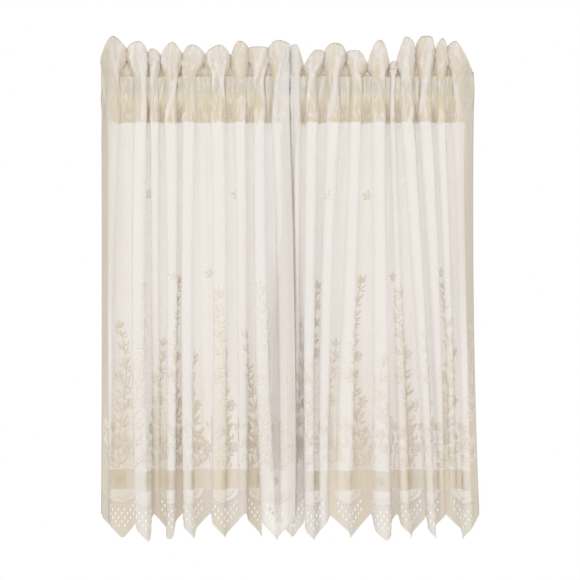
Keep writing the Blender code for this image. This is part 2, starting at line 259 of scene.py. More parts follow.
@dataclass
class Drape:
    """The folds that one panel hangs in, and where any point of its flat cloth comes to lie.

    seed shifts its wrinkles. overlap is the side edge, across the flat cloth, that meets the other
    panel, where the cloth is painted lighter to make up for the shade there. glow, brink and shade
    are how strongly a crest is painted with a highlight, the turn beside it with shade and a valley
    with shade. The other sizes are those of its wrinkles.
    """

    name: str
    left: Edge
    right: Edge
    folds: tuple[Fold, ...]
    seed: float
    overlap: float
    gather_height: float = 2.3 * MM
    gather_pitch: float = 19.5 * MM
    hanging_height: float = 0.8 * MM
    puff: float = 1.5
    pinch: float = 1.6 * MM
    crumple: float = 1.9 * MM
    glow: float = 0.4
    turn_shade: float = 0.1
    shade: float = 0.34

    def along(self, piece: Fold | Edge, z: float, share: float = 0.0) -> float:
        """Where a crest or a side edge lies along X at a height and a share of the heading."""
        x = down_the_cloth((piece.pocket, piece.waist, piece.foot), z)
        return (x + (piece.head - x) * rise(share)) * MM

    def half_width(self, fold: Fold, z: float) -> float:
        """Half of a crest's width at a height."""
        down = rise((POCKET_Z - z) / (POCKET_Z - NOTCH_Z))
        return (fold.half_top + (fold.half_foot - fold.half_top) * down) * MM

    def flanks(self, z: float, share: float) -> list[tuple[float, float]]:
        """Both sides of each crest along X. Up the heading they puff out until neighbours nearly meet.

        Args:
            z: the height.
            share: how far up the heading, from 0 at the seam to 1 at its top.

        Returns:
            Each crest's left and right side.
        """
        crests = [self.along(fold, z, share) for fold in self.folds]
        halves = [self.half_width(fold, z) for fold in self.folds]
        opened = rise(share * self.puff)
        found = []
        for i, (x, half) in enumerate(zip(crests, halves)):
            room_left = x - self.along(self.left, z, share) - self.pinch
            room_right = self.along(self.right, z, share) - x - self.pinch
            if i > 0:
                room_left = (x - crests[i - 1]) * half / (half + halves[i - 1]) - self.pinch
            if i < len(crests) - 1:
                room_right = (crests[i + 1] - x) * half / (half + halves[i + 1]) - self.pinch
            found.append((x - half - (room_left - half) * opened, x + half + (room_right - half) * opened))
        return found

    def guides(self, z: float, share: float = 0.0) -> np.ndarray:
        """The points that the cloth's line runs through, seen from above.

        Args:
            z: the height.
            share: how far up the heading, from 0 at the seam to 1 at its top.

        Returns:
            The guide points from the left edge to the right, one (x, y) a row.
        """
        sink = 1 + (SEAM_SHARE - 1) * rise((z - ROD_HOLD_Z) / (SEAM_Z - ROD_HOLD_Z))
        sink *= 1 + 0.7 * share
        shoulder = SHOULDER - 0.2 * rise(share * self.puff)
        points = [(self.along(self.left, z, share), down_the_cloth(self.left.y, z) * MM)]
        last_back = points[0][1]
        sides = self.flanks(z, share)
        for i, (fold, (start, end)) in enumerate(zip(self.folds, sides)):
            x = self.along(fold, z, share)
            front = -down_the_cloth(fold.front, z) * MM * sink
            back = down_the_cloth(fold.back, z) * MM * sink
            points.append((start, (front + last_back) / 2))
            points += [(x - (x - start) * shoulder, front), (x + (end - x) * shoulder, front)]
            if i == len(self.folds) - 1:
                break
            points.append((end, (front + back) / 2))
            following = sides[i + 1][0]
            middle, room = (end + following) / 2, (following - end) / 2 * SHOULDER
            points += [(middle - room, back), (middle + room, back)]
            last_back = back
        points.append((self.along(self.right, z, share), down_the_cloth(self.right.y, z) * MM))
        return np.array(points)

    def places(self, z: float, shares: np.ndarray) -> np.ndarray:
        """Where shares of the cut width lie along the line, by length, counted in guide points."""
        points = self.guides(z)
        steps = np.arange((len(points) - 1) * CURVE_STEPS + 1) / CURVE_STEPS
        line, _ = smooth_curve(points, steps)
        walked = np.concatenate([[0.0], np.cumsum(np.linalg.norm(np.diff(line, axis=0), axis=1))])
        return np.interp(shares * walked[-1], walked, steps)

    def heading_height(self, places: np.ndarray) -> np.ndarray:
        """The heading's height over the seam at places along the line: a rounded lobe on each fold."""
        x = smooth_curve(self.guides(SEAM_Z, 1.0), places)[0][:, 0]
        sides = self.flanks(SEAM_Z, 1.0)
        notches = [self.left.height, *(fold.notch for fold in self.folds[:-1]), self.right.height]
        height = np.zeros(len(x))
        for i, (fold, (start, end)) in enumerate(zip(self.folds, sides)):
            crest = self.along(fold, SEAM_Z, 1.0)
            for edge, notch in ((start - self.pinch, notches[i]), (end + self.pinch, notches[i + 1])):
                away = (x - crest) / (edge - crest)
                arch = notch + (fold.lobe - notch) * (1 - np.abs(away) ** fold.arch)
                height = np.where((away >= 0) & (away <= 1), np.maximum(height, arch), height)
        ends = np.where(x < 0.5 * (sides[0][0] + sides[-1][1]), self.left.height, self.right.height)
        return np.where(height > 0, height, ends) * MM

    def painted_light_mark(self, row: Row, u: np.ndarray) -> np.ndarray:
        """The painted light and shade of the cloth: 1 where a strong crest gets a painted highlight, 0.5
        between folds, 0 where a valley is painted with shade.

        Over 1, it is painted paler still, painted light that makes up for the shade where the panels overlap.
        """
        places = self.places(row.z, np.clip(u / WIDTH, 0, 1))
        x = smooth_curve(self.guides(row.z, row.share), places)[0][:, 0]
        down = rise((POCKET_Z - row.z) / (POCKET_Z - NOTCH_Z))
        gathered = math.exp(-max(0.0, POCKET_Z - row.z) / 0.2)
        mark = np.full(len(u), 0.5)
        for i, fold in enumerate(self.folds):
            half = self.half_width(fold, row.z)
            hand = 1 if fold.lean > 0 else -1  # The painted highlight lies to one side of the crest
            away = (x - self.along(fold, row.z, row.share)) * hand - 0.4 * half
            soft = half * (0.65 + 1.4 * down) * fold.spread
            # Painted highlight on the crest, and painted shade on the turn beyond it
            lit = np.exp(-((away / np.where(away > 0, 0.35 * half, soft)) ** 2))
            turned = np.exp(-(((away - 0.8 * half) / (0.35 * half)) ** 2))
            near = np.clip(2.0 + fold.spread - np.abs(places - (6 * i + 2.5)), 0, 1)
            mark += near * down_the_cloth(fold.crest_highlight, row.z) * (self.glow * lit - self.turn_shade * turned)
            # Painted shade in the valley behind each crest, and in the heading's notches
            valley = rise((down_the_cloth(fold.back, row.z) - 2) / 9)
            valley = max(valley, 0.45 * rise(4 * row.share))
            mark -= self.shade * valley * np.clip(1.4 - np.abs(places - (6 * i + 5.5)), 0, 1)
        # Painted light on the heading's crumples and on the ridges of the fine gathers
        if row.share > 0:
            mark += 0.3 * self.crumples(u, row)
        mark = np.clip(mark + (self.ridges(u, row) - 0.2) * (0.14 + 0.42 * gathered), 0, 1)
        # Painted light over the overlap, to make up for the shade between the panels
        reach = (22 + 68 * down) * MM
        near = np.clip(1.6 - np.abs(u - self.overlap) / reach, 0, 1)
        return np.maximum(mark, (1.1 + 0.3 * down) * near)

    def lean(self, places: np.ndarray) -> np.ndarray:
        """How far the heading's top leans back at places along the line."""
        crests = [6 * i + 2.5 for i in range(len(self.folds))]
        return np.interp(places, crests, [fold.lean * MM for fold in self.folds])

    def ridges(self, u: np.ndarray, row: Row) -> np.ndarray:
        """The ridges of the fine gathers: 1 on a ridge's top, and 0 for most of the way between.

        Most run straight down, and a wider set leans across them near the stitches.
        """
        height = row.z + row.share * HEADING
        upper = rise((height + 160 * MM) / (130 * MM))
        wander = waves(u, height, (3.2, 29, 31, self.seed), (2.2, -67, 63, self.seed))
        turn = 2 * math.pi * (u + wander * upper * MM) / self.gather_pitch + height * 3
        turn = turn + waves(u, height, (1.9, 37, 0, 2 * self.seed), (1.2, 91, 4, 0))
        swell = 0.66 + waves(u, height, (0.34, 53, 21, 3 * self.seed))
        straight = (0.5 + 0.5 * np.sin(turn)) ** 4 * swell
        slant = 0.32 * np.sin(u * 23 + self.seed) * max(height, -140 * MM)
        turn = 2 * math.pi * (u + slant) / (1.7 * self.gather_pitch)
        leaning = (0.5 + 0.5 * np.sin(turn + self.seed)) ** 5
        return np.maximum(straight, leaning * (0.35 + 0.6 * upper))

    def wrinkles(self, u: np.ndarray, row: Row) -> np.ndarray:
        """The fine gathers, as a height off the main folds.

        They are strongest at the stitches, where the cloth is drawn up, and fade on the way down.
        """
        near = math.exp(-max(0.0, POCKET_Z - row.z) / 0.07)
        strength = self.hanging_height + (self.gather_height - self.hanging_height) * near
        drift = row.z * 6.0 + self.seed
        fine = np.sin(2 * math.pi * u / 0.0081 + drift) * (0.5 + 0.5 * np.sin(u * 61 - drift))
        total = (self.ridges(u, row) + 0.14 * fine) * strength
        if row.share > 0:
            total = total * (1 - 0.5 * row.share) + self.crumple * self.crumples(u, row)
        return total

    def crumples(self, u: np.ndarray, row: Row) -> np.ndarray:
        """The soft crumples of the heading, from -1 to 1 and nothing at the stitches and the top."""
        leaning = np.sin(2 * math.pi * u / 0.0137 + 7 * row.share + self.seed)
        crossing = np.sin(2 * math.pi * u / 0.031 - 11 * row.share + 2 * self.seed)
        small = 0.45 * np.sin(2 * math.pi * u / 0.0092 - 14 * row.share) * np.sin(13 * row.share + u * 160)
        return (leaning * crossing + small) * math.sin(math.pi * row.share) / 1.45

    def row_points(self, row: Row, u: np.ndarray, proud: np.ndarray | float = 0.0) -> np.ndarray:
        """Where the points of one row across the flat cloth come to lie.

        Args:
            row: the row.
            u: the points' places across the flat cloth.
            proud: how far off the sheet's outer face they stand.

        Returns:
            One (x, y, z) a row.
        """
        places = self.places(row.z, np.clip(u / WIDTH, 0, 1))
        at, along = smooth_curve(self.guides(row.z, row.share), places)
        outward = np.stack([along[:, 1], -along[:, 0]], axis=1)
        apart = LAYER_HALF_GAP
        if row.share > 0:
            apart += LAYER_PUFF * math.sin(math.pi * min(row.share, 0.5))
            apart *= math.sqrt(max(0.0, 1 - row.share**8))
        side = -row.layer.value
        depth = np.broadcast_to(proud, len(u))[:, None]
        at = at + outward * side * (apart + depth)
        opening = 0.0 if row.share else pocket_opening(row.z)
        if opening > 0:
            hold = ROD_HALF_DEPTH + ROD_CLEARANCE + HALF_CLOTH
            guides = self.guides(row.z)
            pick = np.minimum if row.layer is Layer.FRONT else np.maximum
            guides[:, 1] = pick(guides[:, 1], row.layer.value * hold)
            open_at, open_along = smooth_curve(guides, places)
            out = np.stack([open_along[:, 1], -open_along[:, 0]], axis=1)
            open_at += out * side * depth
            at = at * (1 - opening) + open_at * opening
        ripple = self.wrinkles(u, row)
        if opening > 0:
            ripple = np.abs(ripple) * opening * side + ripple * (1 - opening)
        at = at + outward * ripple[:, None]
        z = np.full(len(u), row.z)
        if row.share > 0:
            z = z + row.share * self.heading_height(places)
            at[:, 1] += self.lean(places) * row.share**2
        return np.column_stack([at, z])


LEFT_DRAPE = Drape("left", *LEFT_EDGES, LEFT_FOLDS, seed=0.7, overlap=WIDTH)
RIGHT_DRAPE = Drape("right", *RIGHT_EDGES, RIGHT_FOLDS, seed=2.9, overlap=0.0)

# The scattered stars' places on the flat cloth, in millimetres
LEFT_STARS = ((128, 480), (365, 480), (300, 361), (200, 358))
RIGHT_STARS = ((128, 478), (226, 478), (310, 356), (442, 362))


def pocket_opening(z: float) -> float:
    """How far the layers stand apart around the rod: 0 at the stitches, 1 at the rod."""
    if z > 0:
        return 1 - (1 - min(1.0, max(0.0, (SEAM_Z - z) / (SEAM_Z - ROD_HOLD_Z)))) ** 3
    return rise((z - POCKET_Z) / (-ROD_HOLD_Z - POCKET_Z))


def edge_drop(u: np.ndarray | float) -> np.ndarray | float:
    """How far the pointed lower edge hangs under its notches at a place across the cloth."""
    share = np.abs((u / PITCH) % 1.0 - 0.5) * 2
    return POINT_DEPTH * (1 - np.maximum(share, TIP_FLAT)) / (1 - TIP_FLAT)


class HangingCloth:
    """The hanging front of a panel as a table of points, which places any flat point on it."""

    def __init__(self, drape: Drape) -> None:
        """Reads the drape at every column and row of the table."""
        self.drape = drape
        self.u = np.linspace(0, WIDTH, round(WIDTH / COLUMN_STEP) + 1)
        step = (POCKET_Z - NOTCH_Z - STRIP_HEIGHT) / HANGING_ROWS
        self.v = STRIP_HEIGHT + step * np.arange(-ROWS_UNDER_STRIP, HANGING_ROWS + 1)
        self.points = np.array([drape.row_points(Row(NOTCH_Z + v), self.u) for v in self.v])
        # The painted light and shade at each point of the table
        self.folds = np.array([drape.painted_light_mark(Row(NOTCH_Z + v), self.u) for v in self.v])[..., None]
        normals = np.cross(np.gradient(self.points, axis=1), np.gradient(self.points, axis=0))
        self.normals = normals / np.linalg.norm(normals, axis=2)[:, :, None]

    def place(self, flat: np.ndarray, proud: np.ndarray | float = 0.0) -> tuple[np.ndarray, np.ndarray]:
        """Places flat points on the hanging cloth.

        Args:
            flat: one (u, v) a row.
            proud: how far the points stand in front of the cloth.

        Returns:
            One (x, y, z) a row, and the painted light and shade at each point.
        """
        a = np.clip(flat[:, 0] / WIDTH, 0, 1) * (len(self.u) - 1)
        b = np.clip((flat[:, 1] - self.v[0]) / (self.v[-1] - self.v[0]), 0, 1) * (len(self.v) - 1)
        i, j = np.minimum(a.astype(int), len(self.u) - 2), np.minimum(b.astype(int), len(self.v) - 2)
        s, t = (a - i)[:, None], (b - j)[:, None]

        def read(table: np.ndarray) -> np.ndarray:
            low = table[j, i] * (1 - s) + table[j, i + 1] * s
            high = table[j + 1, i] * (1 - s) + table[j + 1, i + 1] * s
            return low * (1 - t) + high * t

        depth = np.broadcast_to(proud, len(flat))[:, None]
        return read(self.points) + read(self.normals) * depth, read(self.folds)[:, 0]


class ClothMesh:
    """The points and faces of a piece of cloth in the making."""

    def __init__(self) -> None:
        """Starts with nothing."""
        self.points: list[np.ndarray] = []
        self.flat: list[np.ndarray] = []
        self.folds: list[np.ndarray] = []
        self.faces: list[tuple[int, ...]] = []
        self.kinds: list[int] = []
        self.count = 0

    def add_points(self, points: np.ndarray, flat: np.ndarray, folds: np.ndarray) -> np.ndarray:
        """Adds points.

        Args:
            points: one (x, y, z) a row.
            flat: their places on the flat cloth.
            folds: the painted light and shade of each.

        Returns:
            The numbers that the points get.
        """
        self.points.append(points)
        self.flat.append(flat)
        self.folds.append(folds)
        numbers = np.arange(self.count, self.count + len(points))
        self.count += len(points)
        return numbers

    def add_grid(self, rows: list[np.ndarray], kind: int) -> None:
        """Joins rows of points by four-sided faces that use the material slot of that number."""
        for below, above in zip(rows, rows[1:]):
            quads = np.stack([below[:-1], below[1:], above[1:], above[:-1]], axis=1)
            self.faces += [tuple(quad) for quad in quads.tolist()]
            self.kinds += [kind] * len(quads)

    def build(self, name: str, finishes: list[bpy.types.Material]) -> bpy.types.Object:
        """Makes the object.

        Args:
            name: its name.
            finishes: its materials, in the order of the faces' slots.

        Returns:
            The object, with its flat places as UV map and its painted light and shade as an attribute.
        """
        mesh = bpy.data.meshes.new(name)
        mesh.from_pydata(np.vstack(self.points).tolist(), [], self.faces)
        corners = np.empty(len(mesh.loops), np.int32)
        mesh.loops.foreach_get("vertex_index", corners)
        flat = np.vstack(self.flat)[corners] + (0, UV_RISE)
        mesh.uv_layers.new(name="cloth").data.foreach_set("uv", flat.astype(np.float32).ravel())
        # The attribute named fold holds painted light and shade, not the shape of the folds
        fold = mesh.attributes.new("fold", "FLOAT", "POINT")
        fold.data.foreach_set("value", np.concatenate(self.folds).astype(np.float32))
        mesh.polygons.foreach_set("material_index", np.array(self.kinds, np.int32))
        mesh.polygons.foreach_set("use_smooth", np.ones(len(self.faces), bool))
        for finish in finishes:
            mesh.materials.append(finish)
        welded = bmesh.new()
        welded.from_mesh(mesh)
        bmesh.ops.remove_doubles(welded, verts=welded.verts, dist=0.02 * MM)
        bmesh.ops.delete(welded, geom=[v for v in welded.verts if not v.link_faces], context="VERTS")
        welded.to_mesh(mesh)
        welded.free()
        piece = bpy.data.objects.new(name, mesh)
        bpy.context.scene.collection.objects.link(piece)
        return piece


@dataclass
class Lattice:
    """The border strip: arcs under the band, and the open diamond lattice over each point."""

    cells_per_point: int = 8
    cell_height: float = 12.0 * MM
    gap_half_width: float = 1.1 * MM
    gap_half_height: float = 2.7 * MM
    edge_margin: float = 14.0 * MM
    reach: float = 25.0 * MM
    arc_half: float = 27.0 * MM
    arc_depth: float = 19.0 * MM
    arc_top: float = 36.0 * MM
    highest: float = 25.0 * MM
    side_margin: float = 12.0 * MM
    grain: float = 3.0 * MM

    def arc_height(self, u: np.ndarray) -> np.ndarray:
        """The height of the outer arc at places across the cloth, level with its ends outside it."""
        from_middle = np.abs((u / PITCH) % 1.0 - 0.5) * PITCH
        inside = np.clip(1 - (from_middle / self.arc_half) ** 2, 0, None)
        return self.arc_top - self.arc_depth * np.sqrt(inside)

    def centres(self) -> np.ndarray:
        """The middles of the gaps on the flat cloth."""
        cell = PITCH / self.cells_per_point
        found = []
        for row in range(-6, 6):
            v = row * self.cell_height / 2
            u = np.arange(1, self.cells_per_point * POINTS) * cell + (cell / 2 if row % 2 else 0)
            over_edge = v + edge_drop(u) > self.edge_margin
            under_arc = v + self.cell_height / 2 < np.minimum(self.arc_height(u) - 2.5 * MM, self.highest)
            near = np.abs((u / PITCH) % 1.0 - 0.5) * PITCH < self.reach
            inside = near & (u > self.side_margin) & (u < WIDTH - self.side_margin)
            found.append(flat_row(u, v)[over_edge & under_arc & inside])
        return np.vstack(found)

    def flat_strip(self, top_u: np.ndarray) -> tuple[np.ndarray, list[list[int]]]:
        """Cuts the strip on the flat cloth.

        Args:
            top_u: the places across the cloth of the strip's uppermost points.

        Returns:
            The points, one (u, v) a row, and the triangles.
        """
        low_u = np.linspace(WIDTH, 0, POINTS * 30 + 1)
        low = np.column_stack([low_u, -edge_drop(low_u)])
        outline = np.vstack([flat_row(top_u, STRIP_HEIGHT), low])
        loops = [list(reversed(range(len(outline))))]
        half_width, half_height = self.gap_half_width, self.gap_half_height
        gaps = self.centres()
        corners = np.array([(half_width, 0), (0, half_height), (-half_width, 0), (0, -half_height)])
        gap_points = (gaps[:, None, :] + corners[None]).reshape(-1, 2)
        first = len(outline)
        loops += [list(range(first + 4 * k, first + 4 * k + 4)) for k in range(len(gaps))]
        over = np.arange(self.grain, WIDTH, self.grain)
        up = np.arange(-33 * MM, STRIP_HEIGHT - 2 * MM, self.grain)
        grid = np.column_stack([part.ravel() for part in np.meshgrid(over, up)])
        grid = grid[grid[:, 1] > -edge_drop(grid[:, 0]) + 1.8 * MM]
        away = np.abs(grid[:, None, :] - gaps[None])
        reach = away[..., 0] / (half_width + 1.0 * MM) + away[..., 1] / (half_height + 1.5 * MM)
        grid = grid[(reach > 1).all(axis=1)]
        points = [Vector(p) for p in np.vstack([outline, gap_points, grid]).tolist()]
        found, _, triangles, _, _, origins = delaunay_2d_cdt(points, [], loops, 0, 1e-7)
        kept = [triangle for triangle, origin in zip(triangles, origins) if list(origin) == [0]]
        return np.array([tuple(p) for p in found]), kept


class Shade(Enum):
    """The yarns of the pattern, by material slot."""

    DENSE = 0
    PALE = 1


class Needlework:
    """Woven strokes that lie on a panel's hanging cloth, each a ribbon along its own line.

    Its points stand about a step apart. A stroke gets a painted highlight at its rims and a painted
    emboss: its edge towards the painted light is painted lighter and the other edge is painted with
    shade, and it follows the painted light and shade of the cloth. Strokes laid one after another
    stand a layer apart, so that none lies in another's plane.
    """

    step = 2.4 * MM
    # Painted light: the way across the flat cloth that the painted light comes from, how strongly a stroke's
    # edges are painted lighter towards it and with shade away from it, how strongly both rims get a painted
    # highlight, and how much a stroke takes of the cloth's painted light and shade
    painted_light_side = np.array([-0.6, 0.8])
    painted_emboss = 0.75
    rim = 0.12
    follows = 0.55
    rimmed_width = 2.4 * MM
    layer = 0.012 * MM
    layers = 9

    def __init__(self, cloth: HangingCloth) -> None:
        """Starts with no strokes."""
        self.cloth = cloth
        self.mesh = ClothMesh()
        self.laid = 0

    def stroke(self, line: np.ndarray, widths: np.ndarray, proud: float, shade: Shade = Shade.DENSE) -> None:
        """Lays one ribbon.

        Args:
            line: its middle line on the flat cloth, one (u, v) a row.
            widths: its width at each point of the line.
            proud: how far it stands in front of the cloth.
            shade: which yarn it is worked in.
        """
        if line[:, 0].min() < 2 * MM or line[:, 0].max() > WIDTH - 2 * MM:
            return
        along = np.gradient(line, axis=0)
        along /= np.linalg.norm(along, axis=1)[:, None]
        left = np.column_stack([-along[:, 1], along[:, 0]])
        wide = widths.max() > self.rimmed_width
        across = (-0.5, -0.3, 0.0, 0.3, 0.5) if wide else (-0.5, 0.0, 0.5)
        # How much each point's left edge faces the painted light
        lit = left @ self.painted_light_side
        proud += self.layer * (self.laid % self.layers)
        self.laid += 1
        columns = []
        for share in across:
            flat = line + left * (widths * share)[:, None]
            points, folds = self.cloth.place(flat, proud)
            # Painted light: the cloth's painted light and shade, a painted highlight on both rims, and a
            # painted emboss that is lighter on the edge towards the painted light and shaded on the other
            folds = 0.5 + self.follows * (np.clip(folds, 0, 1) - 0.5)
            edge = (2 * share) ** 3
            folds = np.clip(folds + self.rim * abs(edge) + self.painted_emboss * edge * lit, 0, 1)
            columns.append(self.mesh.add_points(points, flat, folds))
        self.mesh.add_grid(columns, shade.value)

    def leaf(
        self,
        base: np.ndarray,
        angle: float,
        length: float,
        width: float,
        bow: float = 0.0,
        proud: float = 0.4 * MM,
    ) -> None:
        """Lays one leaf, petal or bud.

        Args:
            base: where it starts, (u, v).
            angle: which way it points, in radians from +u.
            length: its length.
            width: its greatest width.
            bow: how far its middle bows to the left.
            proud: how far it stands in front of the cloth.
        """
        t = np.linspace(0, 1, max(5, round(length / self.step) + 1))
        way = np.array([math.cos(angle), math.sin(angle)])
        aside = np.array([-way[1], way[0]])
        line = base + np.outer(t * length, way) + np.outer(np.sin(math.pi * t) * bow, aside)
        self.stroke(line, width * np.sin(math.pi * (0.06 + 0.88 * t)) ** 0.9, proud)

    def flower(self, middle: np.ndarray, radius: float, petals: int, turn: float) -> None:
        """Lays a flower of even petals round a ring."""
        width = 2.1 * math.pi * 0.62 * radius / petals
        for k in range(petals):
            angle = turn + 2 * math.pi * k / petals
            start = middle + 0.24 * radius * np.array([math.cos(angle), math.sin(angle)])
            self.leaf(start, angle, radius * 0.76, width * 0.8, proud=(0.42 + 0.03 * (k % 2)) * MM)
        round_it = np.linspace(0, 2 * math.pi, 9)
        ring = middle + 0.16 * radius * np.column_stack([np.cos(round_it), np.sin(round_it)])
        self.stroke(ring, np.full(len(ring), 0.16 * radius), 0.5 * MM, Shade.PALE)

    def stem(self, guides: list[tuple[float, float]], width: float) -> None:
        """Lays a stem along a smooth line through guide points."""
        points = np.array(guides)
        length = np.linalg.norm(np.diff(points, axis=0), axis=1).sum()
        places = np.linspace(0, len(points) - 1, max(4, round(length / self.step)))
        line, _ = smooth_curve(points, places)
        self.stroke(line, np.full(len(line), width), 0.34 * MM)

    def scroll(self, middle: np.ndarray, radius: float, start: float, turns: float, hand: int) -> None:
        """Lays a spiral that winds inwards. hand is 1 for leftwards and -1 for rightwards."""
        t = np.linspace(0, 1, max(12, round(turns * 2 * math.pi * radius * 0.6 / (0.7 * self.step))))
        angle = start + hand * turns * 2 * math.pi * t
        reach = radius * (1 - 0.78 * t)
        line = middle + np.column_stack([np.cos(angle), np.sin(angle)]) * reach[:, None]
        self.stroke(line, (2.3 - 0.8 * t) * MM, 0.46 * MM, Shade.PALE)


@dataclass
class Garden:
    """A generic pattern of sprays, scattered stars, band rosettes and border arcs.

    The sprays repeat across the cloth, each on one of two bases and to one of two heights in
    millimetres. The band lies between two heights.
    """

    stars: tuple[tuple[float, float], ...]
    repeat: float = 117.5 * MM
    spray_bases: tuple[float, float] = (98.0 * MM, 42.0 * MM)
    band_low: float = 37.0 * MM
    band_high: float = 66.0 * MM
    star_radius: float = 8.0 * MM
    spray_heights: tuple[float, float] = (347.0, 262.0)
    sway: float = 12.0 * MM
    node_spacing: float = 12.5 * MM

    def spray(self, work: Needlework, base: float, height: float, sway: float, full: float) -> None:
        """Lays one tall spray: a swaying stem with flowers below and buds at its tip.

        Args:
            work: where it is laid.
            base: its place across the flat cloth.
            height: how high its tip stands over the notches.
            sway: how far it sways, to the right if above 0.
            full: how large its flowers and leaves are, 1 for the fullest.
        """
        foot = self.band_high + 2 * MM
        tall = height - foot

        def at(t: float) -> np.ndarray:
            aside = sway * math.sin(4.6 * t + base * 40) * (0.5 + 0.5 * t)
            return np.array([base + aside, foot + tall * t])

        work.stem([tuple(at(t)) for t in np.linspace(0, 0.97, 14)], 1.6 * MM)
        count = max(7, round(tall / self.node_spacing))
        for k in range(count):
            t = (k + 0.4 + 0.25 * math.sin(2.7 * k + base * 90)) / count
            side = 1 if k % 2 else -1
            size = (1 - 0.5 * t) * full
            outward = math.pi / 2 - side * (0.75 + 0.25 * math.sin(1.9 * k))
            if t < 0.7 and k % 3 == 1:
                self.branch(work, at(t), side, (16 - 8 * t) * full, 0.9 * k)
            else:
                self.fan(work, at(t), outward, size)
            length, width = (18 * size + 2) * MM, (4.6 * size + 0.7) * MM
            work.leaf(at(t + 0.012), math.pi - outward, length, width, side * 2.0 * MM)
        self.fan(work, at(0.97), math.pi / 2, 0.6 * full)

    def fan(self, work: Needlework, start: np.ndarray, angle: float, size: float) -> None:
        """Lays a fan of three slender leaves that points along angle, in radians from +u."""
        width = (4.8 * size + 0.7) * MM
        for turn, share in ((-0.75, 0.7), (0.0, 1.0), (0.65, 0.6)):
            work.leaf(start, angle + turn, (20 * size * share + 2) * MM, width, 2.0 * turn * MM)

    def branch(self, work: Needlework, start: np.ndarray, side: int, reach: float, turn: float) -> None:
        """Lays one side branch with a blossom at its end and a leaf on either side of it.

        Args:
            work: where it is laid.
            start: where it leaves the main stem, (u, v).
            side: 1 for the right and -1 for the left.
            reach: how far out it goes, in millimetres.
            turn: how the blossom is turned, in radians.
        """
        end = start + np.array([side * reach, reach * (0.55 + 0.25 * math.sin(turn * 3))]) * MM
        bend = start * 0.45 + end * 0.55 - np.array([0, 0.16 * reach * MM])
        work.stem([tuple(start), tuple(bend), tuple(end)], 1.3 * MM)
        work.flower(end, (4.4 + 0.28 * reach) * MM, 5, turn)
        way, bow = math.pi / 2 - side * 1.15, side * 0.8 * MM
        work.leaf(bend, way + side * 0.75, (5 + 0.5 * reach) * MM, (2.2 + 0.14 * reach) * MM, bow)
        work.leaf(bend, way - side * 0.85, (4 + 0.45 * reach) * MM, (2.0 + 0.13 * reach) * MM, -bow)

    def low_growth(self, work: Needlework, base: float, flip: int) -> None:
        """Lays the growth over the band: two scrolls, long leaves and a few blossoms.

        Args:
            work: where it is laid.
            base: its middle across the flat cloth.
            flip: 1, or -1 to mirror it.
        """
        foot = self.band_high + 2 * MM

        def at(du: float, dv: float) -> np.ndarray:
            return np.array([base + flip * du * MM, foot + dv * MM])

        turned = 0 if flip > 0 else math.pi
        work.scroll(at(-11, 30), 9.5 * MM, turned - flip * 0.4, 1.5, flip)
        work.stem([tuple(at(1, 0)), tuple(at(0.5, 12)), tuple(at(-3.9, 27))], 1.5 * MM)
        work.scroll(at(13, 16), 7.0 * MM, turned + math.pi + flip * 0.4, 1.3, -flip)
        work.stem([tuple(at(1, 0)), tuple(at(4, 6)), tuple(at(7.7, 13.5))], 1.4 * MM)
        leaves = (
            (-17, 1, 2.0, 17), (14, 29, 1.25, 21), (3, 33, 1.6, 24), (-14, 44, 1.95, 17), (5, 62, 1.75, 17)
        )
        for du, dv, angle, length in leaves:
            way = angle if flip > 0 else math.pi - angle
            work.leaf(at(du, dv), way, length * MM, 5.2 * MM, flip * 2.0 * MM)
            work.leaf(at(du + 1.5, dv - 2), way - flip * 0.55, length * 0.6 * MM, 3.6 * MM, -flip * 1.0 * MM)
        for k, (du, dv, radius) in enumerate(((-20, 13, 6.6), (23, 34, 7.2), (-3, 62, 7.0))):
            work.flower(at(du, dv), radius * MM, 5, 0.5 * k + 0.3)

    def band(self, work: Needlework, lattice: Lattice) -> None:
        """Lays the rosettes of the band and the arcs under it, one set over each point."""
        middle_v = (self.band_low + self.band_high) / 2
        for point in range(POINTS):
            middle = np.array([(point + 0.5) * PITCH, middle_v])
            work.flower(middle, 7.0 * MM, 8, 0.2)
            for shrink in (1.0, 0.68):
                sweep = np.linspace(math.pi, 2 * math.pi, 30)
                half, depth = lattice.arc_half * shrink, lattice.arc_depth * shrink
                arc = np.column_stack([np.cos(sweep) * half, np.sin(sweep) * depth])
                work.stroke(arc + (middle[0], lattice.arc_top), np.full(30, 2.0 * MM), 0.4 * MM, Shade.PALE)
        edge_u = np.linspace(3 * MM, WIDTH - 3 * MM, POINTS * 24)
        line = np.column_stack([edge_u, 1.6 * MM - edge_drop(edge_u)])
        work.stroke(line, np.full(len(line), 1.3 * MM), 0.36 * MM, Shade.PALE)

    def lay(self, work: Needlework, lattice: Lattice) -> None:
        """Lays the whole pattern on one panel."""
        for k in range(-1, 6):
            start = k * self.repeat
            tall = self.spray_heights[0] + 9 * math.sin(2.1 * k)
            short = self.spray_heights[1] + 24 * math.cos(1.7 * k)
            self.spray(work, start + self.spray_bases[0], tall * MM, self.sway, 1.0)
            self.spray(work, start + self.spray_bases[1], short * MM, -self.sway, 0.9)
            self.low_growth(work, start + 13 * MM, 1)
            self.low_growth(work, start + 70 * MM, -1)
        for star in self.stars:
            work.flower(np.array(star) * MM, self.star_radius, 5, 0.3)
        self.band(work, lattice)


